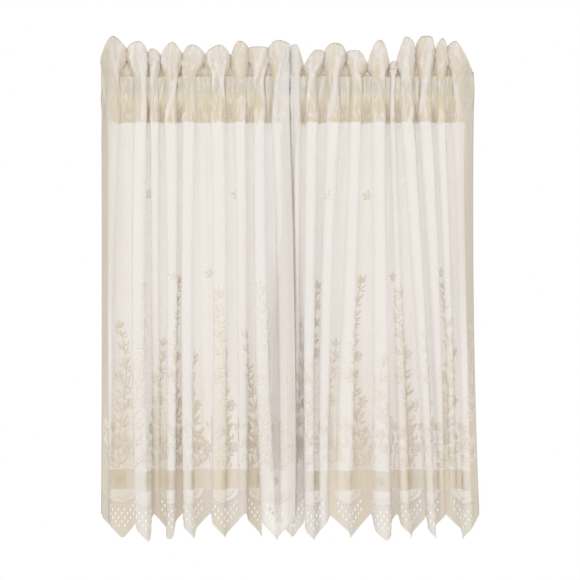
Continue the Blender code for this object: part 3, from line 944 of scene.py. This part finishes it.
@dataclass
class Stitching:
    """The two rows of stitches that close the rod pocket."""

    spacing: float = 3.0 * MM
    length: float = 2.1 * MM
    thickness: float = 0.8 * MM

    def sew(self, drape: Drape, mesh: ClothMesh) -> None:
        """Sews both rows across the front of one panel, as short raised threads."""
        count = int(WIDTH / self.spacing)
        starts = (np.arange(count) + 0.2) * self.spacing
        u = (starts[:, None] + np.linspace(0, self.length, 3)[None]).ravel()
        for z in (SEAM_Z - 0.6 * MM, POCKET_Z + 0.8 * MM):
            rows = []
            for offset in (-0.5, 0.5):
                height = z + offset * self.thickness
                points = drape.row_points(Row(height), u, 0.45 * MM)
                rows.append(mesh.add_points(points, flat_row(u, height - NOTCH_Z), np.full(len(u), 0.75)))
            for k in range(count):
                part = slice(3 * k, 3 * k + 3)
                mesh.add_grid([rows[0][part], rows[1][part]], Shade.PALE.value)


@dataclass
class LacePanel:
    """One lace panel: the hung sheet with its lattice and side hems, and the pattern woven on it."""

    drape: Drape
    lattice: Lattice
    garden: Garden
    stitching: Stitching
    hem_behind: float = 0.6 * MM

    def upper_rows(self) -> tuple[list[Row], list[Row]]:
        """The rows over the hanging cloth: up the front to the heading's top, and down behind."""
        pocket = [POCKET_Z + (SEAM_Z - POCKET_Z) * k / POCKET_ROWS for k in range(POCKET_ROWS + 1)]
        shares = [k / HEADING_ROWS for k in range(1, HEADING_ROWS + 1)]
        front = [Row(z) for z in pocket[1:]] + [Row(SEAM_Z, s) for s in shares]
        behind = [Row(SEAM_Z, s, Layer.BACK) for s in reversed(shares[:-1])]
        behind += [Row(z, 0.0, Layer.BACK) for z in [*reversed(pocket), HEM_END_Z]]
        return front, behind

    def upper_flat(self, row: Row, u: np.ndarray) -> np.ndarray:
        """Where the points of an upper row lie on the flat cloth."""
        v = row.z - NOTCH_Z + row.share * HEADING
        if row.layer is Layer.BACK:
            v = 2 * (SEAM_Z - NOTCH_Z + HEADING) - v
        return flat_row(u, v)

    def add_sheet(self, mesh: ClothMesh, cloth: HangingCloth) -> None:
        """Adds the whole sheet over the border strip: up the front, over the top and down the hem."""
        rows = []
        for j in range(ROWS_UNDER_STRIP, len(cloth.v)):
            rows.append(mesh.add_points(cloth.points[j], flat_row(cloth.u, cloth.v[j]), cloth.folds[j, :, 0]))
        front, behind = self.upper_rows()
        for row in (*front, *behind):
            points, folds = self.drape.row_points(row, cloth.u), self.drape.painted_light_mark(row, cloth.u)
            rows.append(mesh.add_points(points, self.upper_flat(row, cloth.u), folds))
        mesh.add_grid(rows, 0)

    def add_strip(self, mesh: ClothMesh, cloth: HangingCloth) -> None:
        """Adds the border strip with its lattice cut through."""
        flat, triangles = self.lattice.flat_strip(cloth.u)
        points, folds = cloth.place(flat)
        first = mesh.add_points(points, flat, folds)[0]
        corners = flat[np.array(triangles)]
        middles = corners.mean(axis=1)
        one, two = corners[:, 1] - corners[:, 0], corners[:, 2] - corners[:, 0]
        turned = one[:, 0] * two[:, 1] - one[:, 1] * two[:, 0] < 0
        dense = middles[:, 1] < self.lattice.arc_height(middles[:, 0])
        for triangle, flip, close in zip(triangles, turned, dense):
            numbers = tuple(int(first) + i for i in triangle)
            mesh.faces.append(tuple(reversed(numbers)) if flip else numbers)
            mesh.kinds.append(1 if close else 0)

    def add_side_hem(self, mesh: ClothMesh, cloth: HangingCloth, outer: float, inner: float) -> None:
        """Adds one side hem, turned in behind the sheet.

        Args:
            mesh: the mesh that it joins.
            cloth: the hanging cloth.
            outer: the panel's side edge on the flat cloth.
            inner: where the hem's own edge lies.
        """
        u = np.linspace(outer, inner, 9)
        behind = np.full(len(u), -self.hem_behind)
        behind[0] = 0.0
        low = -edge_drop(u)
        shares = np.arange(8) / 8
        hanging = [np.column_stack([u, low + (STRIP_HEIGHT - low) * share]) for share in shares]
        hanging += [flat_row(u, v) for v in cloth.v[ROWS_UNDER_STRIP:]]
        rows = []
        for flat in hanging:
            points, folds = cloth.place(flat, behind)
            rows.append(mesh.add_points(points, flat, folds))
        front, _ = self.upper_rows()
        for row in front[:-2]:
            points = self.drape.row_points(row, u, behind)
            rows.append(mesh.add_points(points, self.upper_flat(row, u), np.full(len(u), 0.4)))
        mesh.add_grid([row[::-1] for row in rows] if inner > outer else rows, 2)

    def build(self, lace: list[bpy.types.Material], yarn: list[bpy.types.Material]) -> bpy.types.Object:
        """Builds and dresses the panel.

        Args:
            lace: the sheet's finishes: the net, the dense border and the side hems.
            yarn: the finishes of the pattern and the stitches: the dense yarn and the pale one.

        Returns:
            The sheet.
        """
        name, cloth, mesh = self.drape.name, HangingCloth(self.drape), ClothMesh()
        self.add_sheet(mesh, cloth)
        self.add_strip(mesh, cloth)
        self.add_side_hem(mesh, cloth, 0.0, SIDE_HEM)
        self.add_side_hem(mesh, cloth, WIDTH, WIDTH - SIDE_HEM)
        sheet = mesh.build(f"{name}_lace", lace)
        work = Needlework(cloth)
        self.garden.lay(work, self.lattice)
        self.stitching.sew(self.drape, work.mesh)
        pattern = work.mesh.build(f"{name}_pattern", yarn)
        for piece in (sheet, pattern):
            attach(piece, "root")
            triangles = sum(len(face.vertices) - 2 for face in piece.data.polygons)
            LOG.info("%s: %d triangles", piece.name, triangles)
        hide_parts(f"{name}_panel")
        return sheet


Colour = tuple[float, float, float]
Socket = bpy.types.NodeSocket


def uv_height(z: float) -> float:
    """The place up the UV map of cloth that hangs at a height over the rod's axis."""
    return UV_RISE + z - NOTCH_Z


class Tree:
    """Adds and joins the nodes of one node tree."""

    def __init__(self, tree: bpy.types.NodeTree) -> None:
        """Takes the tree that it works in."""
        self.tree = tree

    def add(self, kind: str, **settings: object) -> bpy.types.Node:
        """Adds a node and sets its properties."""
        node = self.tree.nodes.new(kind)
        for name, value in settings.items():
            setattr(node, name, value)
        return node

    def feed(self, node: bpy.types.Node, values: dict[str | int, object]) -> bpy.types.Node:
        """Joins inputs of a node to sockets or sets their values.

        Args:
            node: the node.
            values: a socket or a value for each input, by its name or number.

        Returns:
            The node.
        """
        for name, value in values.items():
            if isinstance(value, Socket):
                self.tree.links.new(value, node.inputs[name])
            else:
                node.inputs[name].default_value = value
        return node

    def math(self, operation: str, *values: object) -> Socket:
        """The result of a Math node."""
        node = self.add("ShaderNodeMath", operation=operation)
        return self.feed(node, dict(enumerate(values))).outputs[0]

    def times(self, first: object, *others: object) -> Socket:
        """The product of two or more values."""
        for other in others:
            first = self.math("MULTIPLY", first, other)
        return first

    def plus(self, first: object, second: object) -> Socket:
        """The sum of two values."""
        return self.math("ADD", first, second)

    def minus(self, first: object, second: object) -> Socket:
        """The first value less the second."""
        return self.math("SUBTRACT", first, second)

    def apart(self, first: object, second: object) -> Socket:
        """How far apart two values are."""
        return self.math("ABSOLUTE", self.minus(first, second))

    def over(self, first: object, second: object) -> Socket:
        """The first value divided by the second."""
        return self.math("DIVIDE", first, second)

    def off_middle(self, counted: Socket) -> Socket:
        """How far a count of steps is from the middle of the step that it is in."""
        return self.apart(self.math("FRACT", counted), 0.5)

    def largest(self, first: object, *others: object) -> Socket:
        """The largest of two or more values."""
        for other in others:
            first = self.math("MAXIMUM", first, other)
        return first

    def span(
        self, value: object, low: object, high: object, to_low: float = 0.0, to_high: float = 1.0
    ) -> Socket:
        """A smooth rise from to_low to to_high as a value goes from low to high."""
        node = self.add("ShaderNodeMapRange", interpolation_type="SMOOTHSTEP")
        names = ("Value", "From Min", "From Max", "To Min", "To Max")
        self.feed(node, dict(zip(names, (value, low, high, to_low, to_high))))
        return node.outputs["Result"]

    def blend(self, share: object, first: object, second: object) -> Socket:
        """A mix of two colours."""
        node = self.add("ShaderNodeMix", data_type="RGBA")
        inputs = [k for k, socket in enumerate(node.inputs) if socket.type == "RGBA"]
        colours = [c if isinstance(c, Socket) else (*c, 1.0) for c in (first, second)]
        self.feed(node, {"Factor": share, **dict(zip(inputs, colours))})
        return next(socket for socket in node.outputs if socket.type == "RGBA")

    def noise(self, vector: Socket, scale: float, detail: float) -> Socket:
        """A noise from 0 to 1."""
        given = {"Vector": vector, "Scale": scale, "Detail": detail}
        return self.feed(self.add("ShaderNodeTexNoise"), given).outputs["Fac"]

    def parts(self, vector: Socket) -> bpy.types.NodeOutputs:
        """The X, Y and Z of a vector."""
        return self.feed(self.add("ShaderNodeSeparateXYZ"), {0: vector}).outputs

    def scaled(self, vector: Socket, scale: tuple[float, float, float]) -> Socket:
        """A vector with each of its parts scaled."""
        node = self.add("ShaderNodeVectorMath", operation="MULTIPLY")
        return self.feed(node, {0: vector, 1: scale}).outputs[0]

    def object_place(self) -> Socket:
        """The place on the piece in its own coordinates."""
        return self.add("ShaderNodeTexCoord").outputs["Object"]

    def bump(self, height: Socket, strength: float, distance: float) -> Socket:
        """The normal of a finely raised surface."""
        given = {"Strength": strength, "Distance": distance, "Height": height}
        return self.feed(self.add("ShaderNodeBump"), given).outputs["Normal"]

    def mix(self, share: object, first: Socket, second: Socket) -> Socket:
        """A mix of two shaders."""
        return self.feed(self.add("ShaderNodeMixShader"), {0: share, 1: first, 2: second}).outputs[0]


def new_material(name: str) -> tuple[bpy.types.Material, Tree, bpy.types.Node]:
    """A new material, the tree of its nodes and its main shader."""
    material = bpy.data.materials.new(name)
    material.use_nodes = True
    return material, Tree(material.node_tree), material.node_tree.nodes["Principled BSDF"]


def knitted_net() -> bpy.types.NodeTree:
    """The node group of the knitted ground: its threads on the flat cloth, their unevenness, and masks for
    painted highlights on thin creases and painted shade in hollows.
    """
    group = bpy.data.node_groups.new("knitted_net", "ShaderNodeTree")
    face = group.interface
    face.new_socket("Flat Place", in_out="INPUT", socket_type="NodeSocketVector")
    for name in ("Pitch", "Thread Width"):
        face.new_socket(name, in_out="INPUT", socket_type="NodeSocketFloat")
    for name in ("Threads", "Streaks", "Clouds", "PaintedCreaseHighlights", "PaintedHollowShade"):
        face.new_socket(name, in_out="OUTPUT", socket_type="NodeSocketFloat")
    tree = Tree(group)
    given = tree.add("NodeGroupInput").outputs
    place = given["Flat Place"]
    parts = tree.parts(place)
    wobble = tree.times(tree.noise(place, 180.0, 1.0), 0.5)
    edge = tree.minus(0.5, given["Thread Width"])
    threads = []
    for axis in ("X", "Y"):
        counted = tree.plus(tree.over(parts[axis], given["Pitch"]), wobble)
        threads.append(tree.span(tree.off_middle(counted), edge, 0.5))
    waves = tree.noise(tree.scaled(place, (1.0, 0.17, 1.0)), 120.0, 1.5)
    results = {
        "Threads": tree.largest(*threads),
        "Streaks": tree.noise(tree.scaled(place, (1.0, 0.03, 1.0)), 420.0, 3.0),
        "Clouds": tree.noise(place, 22.0, 2.0),
        # Masks for painted highlights on thin creases and for painted shade in hollows
        "PaintedCreaseHighlights": tree.span(tree.apart(waves, 0.5), 0.01, 0.045, 1.0, 0.0),
        "PaintedHollowShade": tree.span(waves, 0.55, 0.72),
    }
    tree.feed(tree.add("NodeGroupOutput"), results)
    return group


@dataclass(frozen=True)
class LacePalette:
    """The colours of lace: first those that the fold attribute picks as painted light and shade, then
    those of its zones.

    valley is painted into valleys: in ivory lighter than ground, to make up for the shade there, and
    in the yarns darker, as the shaded side of a stroke's painted emboss. crest and low_highlight are the
    painted highlight on crests, low_highlight low on the cloth, and on a stroke's lit side. palest is
    painted light on the brightest creases and on the overlap, where it makes up for the shade
    between the panels. doubled is the tan of the two-layer hem behind, partly its denser cloth and
    partly painted shade between its layers, and also painted shade in the hollows near the stitches.
    headed is the heading. rod_shade is painted shade of the rod seen through the cloth before it.
    banded is painted shade of a window rail seen through the band, and the tan behind the sprays'
    feet. patched is the band's darker patch, and hemmed the side hems' tan, which is also painted as
    shade beside the outer hems.
    """

    valley: Colour = (0.85, 0.78, 0.70)
    ground: Colour = (0.79, 0.72, 0.66)
    crest: Colour = (0.85, 0.81, 0.77)
    low_highlight: Colour = (0.83, 0.79, 0.75)
    palest_light: Colour = (0.97, 0.93, 0.89)
    two_layer_tan_and_shade: Colour = (0.76, 0.67, 0.46)
    headed: Colour = (0.82, 0.755, 0.67)
    rod_shade: Colour = (0.76, 0.71, 0.62)
    rail_shade_and_tan: Colour = (0.76, 0.685, 0.55)
    patched: Colour = (0.67, 0.59, 0.42)
    hem_tan_and_shade: Colour = (0.70, 0.63, 0.53)


@dataclass(frozen=True)
class LaceFinish:
    """A knitted lace finish: its colours, and how much its gaps and its threads cover.

    openwork is how open the border's small diamonds are. tan_foot is how tan the cloth is behind
    the sprays' feet.
    """

    name: str
    colours: LacePalette
    open_cover: float
    thread_cover: float
    pitch: float = 1.9 * MM
    thread_width: float = 0.2
    bump: float = 0.25
    roughness: float = 0.88
    see_through: float = 0.16
    openwork: float = 0.0
    tan_foot: float = 0.8

    def make(self, net: bpy.types.NodeTree) -> bpy.types.Material:
        """Makes the material round the node group of the knitted ground."""
        return LacePaint(self, net).material


class LacePaint:
    """The material of one lace finish, painted zone by zone."""

    def __init__(self, finish: LaceFinish, net: bpy.types.NodeTree) -> None:
        """Makes the material, which reads the piece's flat places and the painted light and shade of its
        folds.

        Args:
            finish: the finish.
            net: the node group of the knitted ground.
        """
        self.finish, self.colours = finish, finish.colours
        self.material, self.tree, self.shader = new_material(finish.name)
        tree = self.tree
        place = tree.add("ShaderNodeUVMap", uv_map="cloth").outputs["UV"]
        given = {"Flat Place": place, "Pitch": finish.pitch, "Thread Width": finish.thread_width}
        self.knit = tree.feed(tree.add("ShaderNodeGroup", node_tree=net), given).outputs
        # The fold attribute is the painted light and shade of the cloth
        self.fold = tree.add("ShaderNodeAttribute", attribute_name="fold").outputs["Fac"]
        self.u, self.v, _ = tree.parts(place)
        self.across = tree.feed(tree.add("ShaderNodeCombineXYZ"), {"X": self.u}).outputs[0]
        self.uneven = tree.times(tree.minus(tree.noise(self.across, 42.0, 0.0), 0.5), 16 * MM)
        # Valleys are painted in the valley colour and the cloth between folds in the ground colour: painted
        # light and shade
        self.colour = tree.blend(tree.span(self.fold, 0.0, 0.5), self.colours.valley, self.colours.ground)
        two_layer_tan_and_shade = self.paint_top()
        sides, shaded = self.paint_sides()
        foot = self.paint_foot()
        band = self.paint_band()
        self.paint_folds()
        # Painted shade beside the outer side hems
        self.tint(shaded, self.colours.hem_tan_and_shade)
        self.tint(tree.span(self.knit["Streaks"], 0.35, 0.75, 0.0, 0.12), self.colours.crest)
        self.join(self.cover(tree.largest(band, two_layer_tan_and_shade, sides), tree.plus(foot, shaded)))

    def tint(self, share: object, colour: object) -> None:
        """Blends the colour so far with another."""
        self.colour = self.tree.blend(share, self.colour, colour)

    def up(self, low: float, high: float, to_low: float = 0.0, to_high: float = 1.0) -> Socket:
        """A smooth rise from to_low to to_high between two heights over the notches, in millimetres."""
        return self.tree.span(self.v, UV_RISE + low * MM, UV_RISE + high * MM, to_low, to_high)

    def paint_top(self) -> Socket:
        """Paints the heading, the pocket's tan of two layers, which is partly painted shade between them, the
        painted shade of the rod seen through the cloth and a painted highlight line under the rod, and
        returns where the cloth lies in two layers.
        """
        tree, clouds = self.tree, self.knit["Clouds"]
        height = tree.plus(self.v, self.uneven)
        hem_end = uv_height(HEM_END_Z)
        two_layer_tan_and_shade = tree.span(height, hem_end - 1 * MM, hem_end + 1 * MM)
        heading = tree.span(height, uv_height(SEAM_Z), uv_height(SEAM_Z) + 20 * MM)
        mottled = tree.times(heading, tree.span(clouds, 0.3, 0.62, 0.6, 1.0))
        mottled = tree.times(mottled, tree.span(self.fold, 0.08, 0.35))
        self.tint(mottled, self.colours.headed)
        two_layer_tan_and_shade = tree.times(two_layer_tan_and_shade, tree.minus(1.0, tree.times(mottled, 0.85)))
        patchy = tree.span(tree.noise(self.across, 70.0, 1.0), 0.35, 0.6, 0.4, 0.95)
        # The tan of two layers, partly painted shade between them
        self.tint(tree.times(two_layer_tan_and_shade, patchy), self.colours.two_layer_tan_and_shade)
        # Painted shade of the rod seen through the cloth in front of it
        over_low = tree.span(height, uv_height(-11 * MM), uv_height(-9.5 * MM))
        under_high = tree.span(height, uv_height(9 * MM), uv_height(15 * MM), 1.0, 0.0)
        self.tint(tree.times(over_low, under_high, 0.6), self.colours.rod_shade)
        # A painted highlight line along the rod's lower edge, seen through the cloth
        edge = tree.span(tree.apart(height, uv_height(-12.5 * MM)), 0.4 * MM, 1.6 * MM, 0.5, 0.0)
        self.tint(tree.times(edge, tree.span(clouds, 0.4, 0.6)), self.colours.crest)
        return two_layer_tan_and_shade

    def paint_sides(self) -> tuple[Socket, Socket]:
        """Paints the side hems' tan, and returns where they are and where the cloth next to the outer ones
        gets painted shade.
        """
        tree = self.tree
        from_side = tree.math("MINIMUM", self.u, tree.minus(WIDTH, self.u))
        sides = tree.span(from_side, SIDE_HEM - 1 * MM, SIDE_HEM, 1.0, 0.0)
        from_centre = tree.math("ABSOLUTE", tree.parts(tree.object_place())["X"])
        outer = tree.times(tree.span(from_centre, 0.05, 0.2, 0.1, 1.0), self.up(90, 300, 0.5, 1.0))
        self.tint(tree.times(sides, outer), self.colours.hem_tan_and_shade)
        # Painted shade on the cloth just beside the outer hems, higher up the panel
        beside = tree.span(from_side, SIDE_HEM, 2.1 * SIDE_HEM, 0.6, 0.0)
        return sides, tree.times(outer, beside, self.up(200, 420))

    def paint_foot(self) -> Socket:
        """Paints the tan cloth behind the sprays' feet, and returns where it is."""
        tree = self.tree
        columns = []
        for base in Garden.spray_bases:
            counted = tree.plus(tree.over(tree.minus(self.u, base), Garden.repeat), 2.5)
            columns.append(tree.span(tree.off_middle(counted), 0.05, 0.21, 1.0, 0.1))
        foot = tree.times(
            self.up(60, 330, self.finish.tan_foot, 0.0),
            tree.largest(*columns),
            tree.span(self.fold, 0.4, 0.75, 1.0, 0.0),
            tree.span(self.fold, 0.1, 0.35, 0.4, 1.0),
        )
        self.tint(foot, self.colours.rail_shade_and_tan)
        return foot

    def paint_band(self) -> Socket:
        """Paints the band, whose tan is painted shade of a window rail seen through the cloth, and the darker
        patch over each point, and returns where the band is.
        """
        tree = self.tree
        height = tree.plus(self.v, tree.times(self.uneven, 0.12))
        low, high = UV_RISE + Garden.band_low, UV_RISE + Garden.band_high
        band = tree.times(
            tree.span(height, low - 1 * MM, low + 0.5 * MM),
            tree.span(height, high - 0.5 * MM, high + 1.5 * MM, 1.0, 0.0),
        )
        # The band's tan is painted shade of a window rail seen through the cloth
        self.tint(tree.times(band, 0.55), self.colours.rail_shade_and_tan)
        beside_point = tree.off_middle(tree.over(self.u, PITCH))
        patch = tree.times(band, tree.span(beside_point, 0.11, 0.16, 1.0, 0.0))
        self.tint(tree.times(patch, 0.75), self.colours.patched)
        return band

    def paint_folds(self) -> None:
        """Paints a highlight on the crests and light over the overlap, and near the stitches paints shade in
        hollows and highlights on thin creases.
        """
        tree, colours = self.tree, self.colours
        pocket = (POCKET_Z - NOTCH_Z) / MM
        creased = self.up(pocket - 30, pocket + 8, 0.0, 0.5)
        # Painted shade in the hollows near the stitches
        self.tint(tree.times(creased, self.knit["PaintedHollowShade"]), colours.two_layer_tan_and_shade)
        # Painted highlight on the crests, and painted light over the overlap
        white = tree.blend(self.up(90, 400), colours.low_highlight, colours.crest)
        self.tint(tree.span(self.fold, 0.5, 1.0), white)
        self.tint(tree.span(self.fold, 1.0, 1.7), colours.palest_light)
        # Painted highlights on thin creases near the stitches
        self.tint(tree.times(creased, self.knit["PaintedCreaseHighlights"]), colours.palest_light)

    def diamonds(self) -> Socket:
        """The small open diamonds of the border's lattice, 1 in a diamond and 0 on its threads."""
        tree = self.tree
        over = tree.over(self.u, PITCH / (2 * Lattice.cells_per_point))
        up = tree.over(tree.minus(self.v, UV_RISE), Lattice.cell_height / 2)
        inside = [tree.off_middle(tree.plus(way(over, up), 20.5)) for way in (tree.plus, tree.minus)]
        return tree.span(tree.largest(*inside), 0.08, 0.3, 1.0, 0.0)

    def cover(self, layered: Socket, shaded: Socket) -> Socket:
        """How much the lace covers.

        Args:
            layered: where it lies in two layers or is closely woven.
            shaded: where it is tan or shaded.

        Returns:
            The share that it covers, from 0 to 1.
        """
        tree, finish = self.tree, self.finish
        cover = tree.span(self.knit["Threads"], 0.0, 1.0, finish.open_cover, finish.thread_cover)
        cover = tree.plus(cover, tree.times(tree.minus(self.knit["Clouds"], 0.5), 0.12))
        cover = tree.plus(cover, tree.times(layered, 0.25))
        cover = tree.plus(cover, tree.times(shaded, 0.3))
        cover = tree.plus(cover, tree.span(self.fold, 0.55, 1.0, 0.0, 0.26))
        if finish.openwork:
            cover = tree.minus(cover, tree.times(self.diamonds(), finish.openwork))
        return tree.math("MAXIMUM", tree.math("MINIMUM", cover, 1.0), 0.0)

    def join(self, cover: Socket) -> None:
        """Joins the colour and the cover to the shaders, and lets light through the cloth."""
        tree, finish, streaks = self.tree, self.finish, self.knit["Streaks"]
        raised = tree.plus(self.knit["Threads"], tree.times(streaks, 0.6))
        looks = {
            "Base Color": self.colour,
            "Alpha": cover,
            "Roughness": tree.span(streaks, 0.2, 0.8, finish.roughness - 0.08, finish.roughness + 0.08),
            "Normal": tree.bump(raised, finish.bump, 0.3 * MM),
            "Specular IOR Level": 0.25,
            "Sheen Weight": 0.15,
        }
        tree.feed(self.shader, looks)
        glow = tree.feed(tree.add("ShaderNodeBsdfTranslucent"), {"Color": self.colour}).outputs[0]
        lit_through = tree.mix(cover, tree.add("ShaderNodeBsdfTransparent").outputs[0], glow)
        whole = tree.mix(finish.see_through, self.shader.outputs[0], lit_through)
        tree.feed(self.material.node_tree.nodes["Material Output"], {"Surface": whole})


@dataclass(frozen=True)
class PaintedRodFinish:
    """White paint on the flat steel rod, a little worn and with a fine orange peel."""

    name: str = "rod_paint"
    paint: Colour = (0.74, 0.74, 0.73)
    worn: Colour = (0.55, 0.55, 0.56)
    roughness: float = 0.38

    def make(self) -> bpy.types.Material:
        """Makes the material, which reads the rod's own place."""
        material, tree, shader = new_material(self.name)
        place = tree.object_place()
        scuffs = tree.noise(place, 60.0, 5.0)
        looks = {
            "Base Color": tree.blend(tree.span(scuffs, 0.58, 0.75), self.paint, self.worn),
            "Roughness": tree.span(scuffs, 0.3, 0.8, self.roughness, self.roughness + 0.2),
            "Normal": tree.bump(tree.noise(place, 900.0, 2.0), 0.15, 0.2 * MM),
        }
        tree.feed(shader, looks)
        return material


@dataclass
class Studio:
    """The camera, the soft lights and the pale floor."""

    frame_width: float = 0.87
    middle: tuple[float, float] = (3.0 * MM, -305.25 * MM)
    distance: float = 2.2
    floor_z: float = -1.6
    floor_half: float = 3.0

    def camera(self) -> None:
        """Stands the camera straight before the curtain, where the photograph's frame takes it in."""
        camera = bpy.data.objects.new("camera", bpy.data.cameras.new("camera"))
        bpy.context.scene.collection.objects.link(camera)
        camera.location = (self.middle[0], -self.distance, self.middle[1])
        camera.rotation_euler = (math.pi / 2, 0, 0)
        camera.data.sensor_width = 36.0
        camera.data.lens = 36.0 * self.distance / self.frame_width
        bpy.context.scene.camera = camera

    def light(self, name: str, place: Colour, size: float, watts: float, colour: Colour) -> None:
        """Hangs one square soft light that looks at the curtain.

        Args:
            name: its name.
            place: where it hangs.
            size: its side.
            watts: its power.
            colour: its colour.
        """
        lamp = bpy.data.lights.new(name, "AREA")
        lamp.shape = "SQUARE"
        lamp.size = size
        lamp.energy = watts
        lamp.color = colour
        item = bpy.data.objects.new(name, lamp)
        bpy.context.scene.collection.objects.link(item)
        item.location = place
        aim = Vector((0, 0, -0.3)) - Vector(place)
        item.rotation_euler = aim.to_track_quat("-Z", "Y").to_euler()

    def world(self, brightness: float) -> None:
        """Gives an even white world, pure white behind the curtain and of a set brightness as a light."""
        world = bpy.data.worlds.new("studio")
        world.use_nodes = True
        bpy.context.scene.world = world
        tree = Tree(world.node_tree)
        seen = world.node_tree.nodes["Background"]
        lit = tree.add("ShaderNodeBackground")
        for background, strength in ((seen, 1.0), (lit, brightness)):
            tree.feed(background, {"Color": (1.0, 1.0, 1.0, 1.0), "Strength": strength})
        straight = tree.add("ShaderNodeLightPath").outputs["Is Camera Ray"]
        whole = tree.mix(straight, lit.outputs[0], seen.outputs[0])
        tree.feed(world.node_tree.nodes["World Output"], {"Surface": whole})

    def floor(self) -> None:
        """Lays the plain pale floor, well under the curtain."""
        bpy.ops.object.select_all(action="DESELECT")
        bpy.ops.mesh.primitive_plane_add(size=2 * self.floor_half, location=(0, 0, self.floor_z))
        floor = bpy.context.object
        floor.name = "floor"
        bpy.ops.object.transform_apply(location=True, rotation=False, scale=False)
        material, tree, shader = new_material("pale_floor")
        grain = tree.noise(tree.object_place(), 3.0, 4.0)
        colour = tree.blend(grain, (0.80, 0.79, 0.77), (0.84, 0.83, 0.81))
        tree.feed(shader, {"Base Color": colour, "Roughness": tree.span(grain, 0.2, 0.8, 0.55, 0.7)})
        floor.data.materials.append(material)

    def build(self) -> None:
        """Sets up the whole studio."""
        scene = bpy.context.scene
        scene.view_settings.view_transform = "Standard"
        scene.view_settings.look = "None"
        self.camera()
        self.world(0.97)
        self.light("key", (-1.4, -2.3, 0.9), 1.1, 10.0, (1.0, 0.985, 0.96))
        self.light("fill", (1.9, -1.7, 0.1), 1.6, 3.0, (0.97, 0.98, 1.0))
        self.floor()


def main() -> None:
    """Builds the studio, the two lace panels and the rod's finish."""
    Studio().build()
    net = knitted_net()
    ivory = LacePalette()
    close = replace(ivory, valley=(0.68, 0.61, 0.52), ground=(0.70, 0.635, 0.55))
    # In the yarns, the valley colour is the painted shade and the crest colour the painted highlight of each
    # stroke's painted emboss
    woven = replace(ivory, valley=(0.70, 0.62, 0.49), ground=(0.87, 0.80, 0.69), crest=(0.95, 0.92, 0.87))
    white = replace(ivory, valley=(0.70, 0.64, 0.54), ground=(0.88, 0.84, 0.78))
    thick = {"pitch": 1.1 * MM, "see_through": 0.04, "tan_foot": 0.2}
    lace = [
        LaceFinish("ivory_net", ivory, 0.62, 0.70).make(net),
        LaceFinish("dense_border", close, 0.8, 0.92, openwork=0.2).make(net),
        LaceFinish("side_hem", close, 0.45, 0.6).make(net),
    ]
    yarn = [
        LaceFinish("dense_pattern", woven, 0.8, 0.92, **thick).make(net),
        LaceFinish("pale_yarn", white, 0.85, 0.95, **thick).make(net),
    ]
    for drape, stars in ((LEFT_DRAPE, LEFT_STARS), (RIGHT_DRAPE, RIGHT_STARS)):
        LacePanel(drape, Lattice(), Garden(stars), Stitching()).build(lace, yarn)
    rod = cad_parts["rod"]
    paint = PaintedRodFinish().make()
    for slot in rod.material_slots:
        slot.material = paint
    LOG.info("rod: painted")


if __name__ == "__main__":
    main()
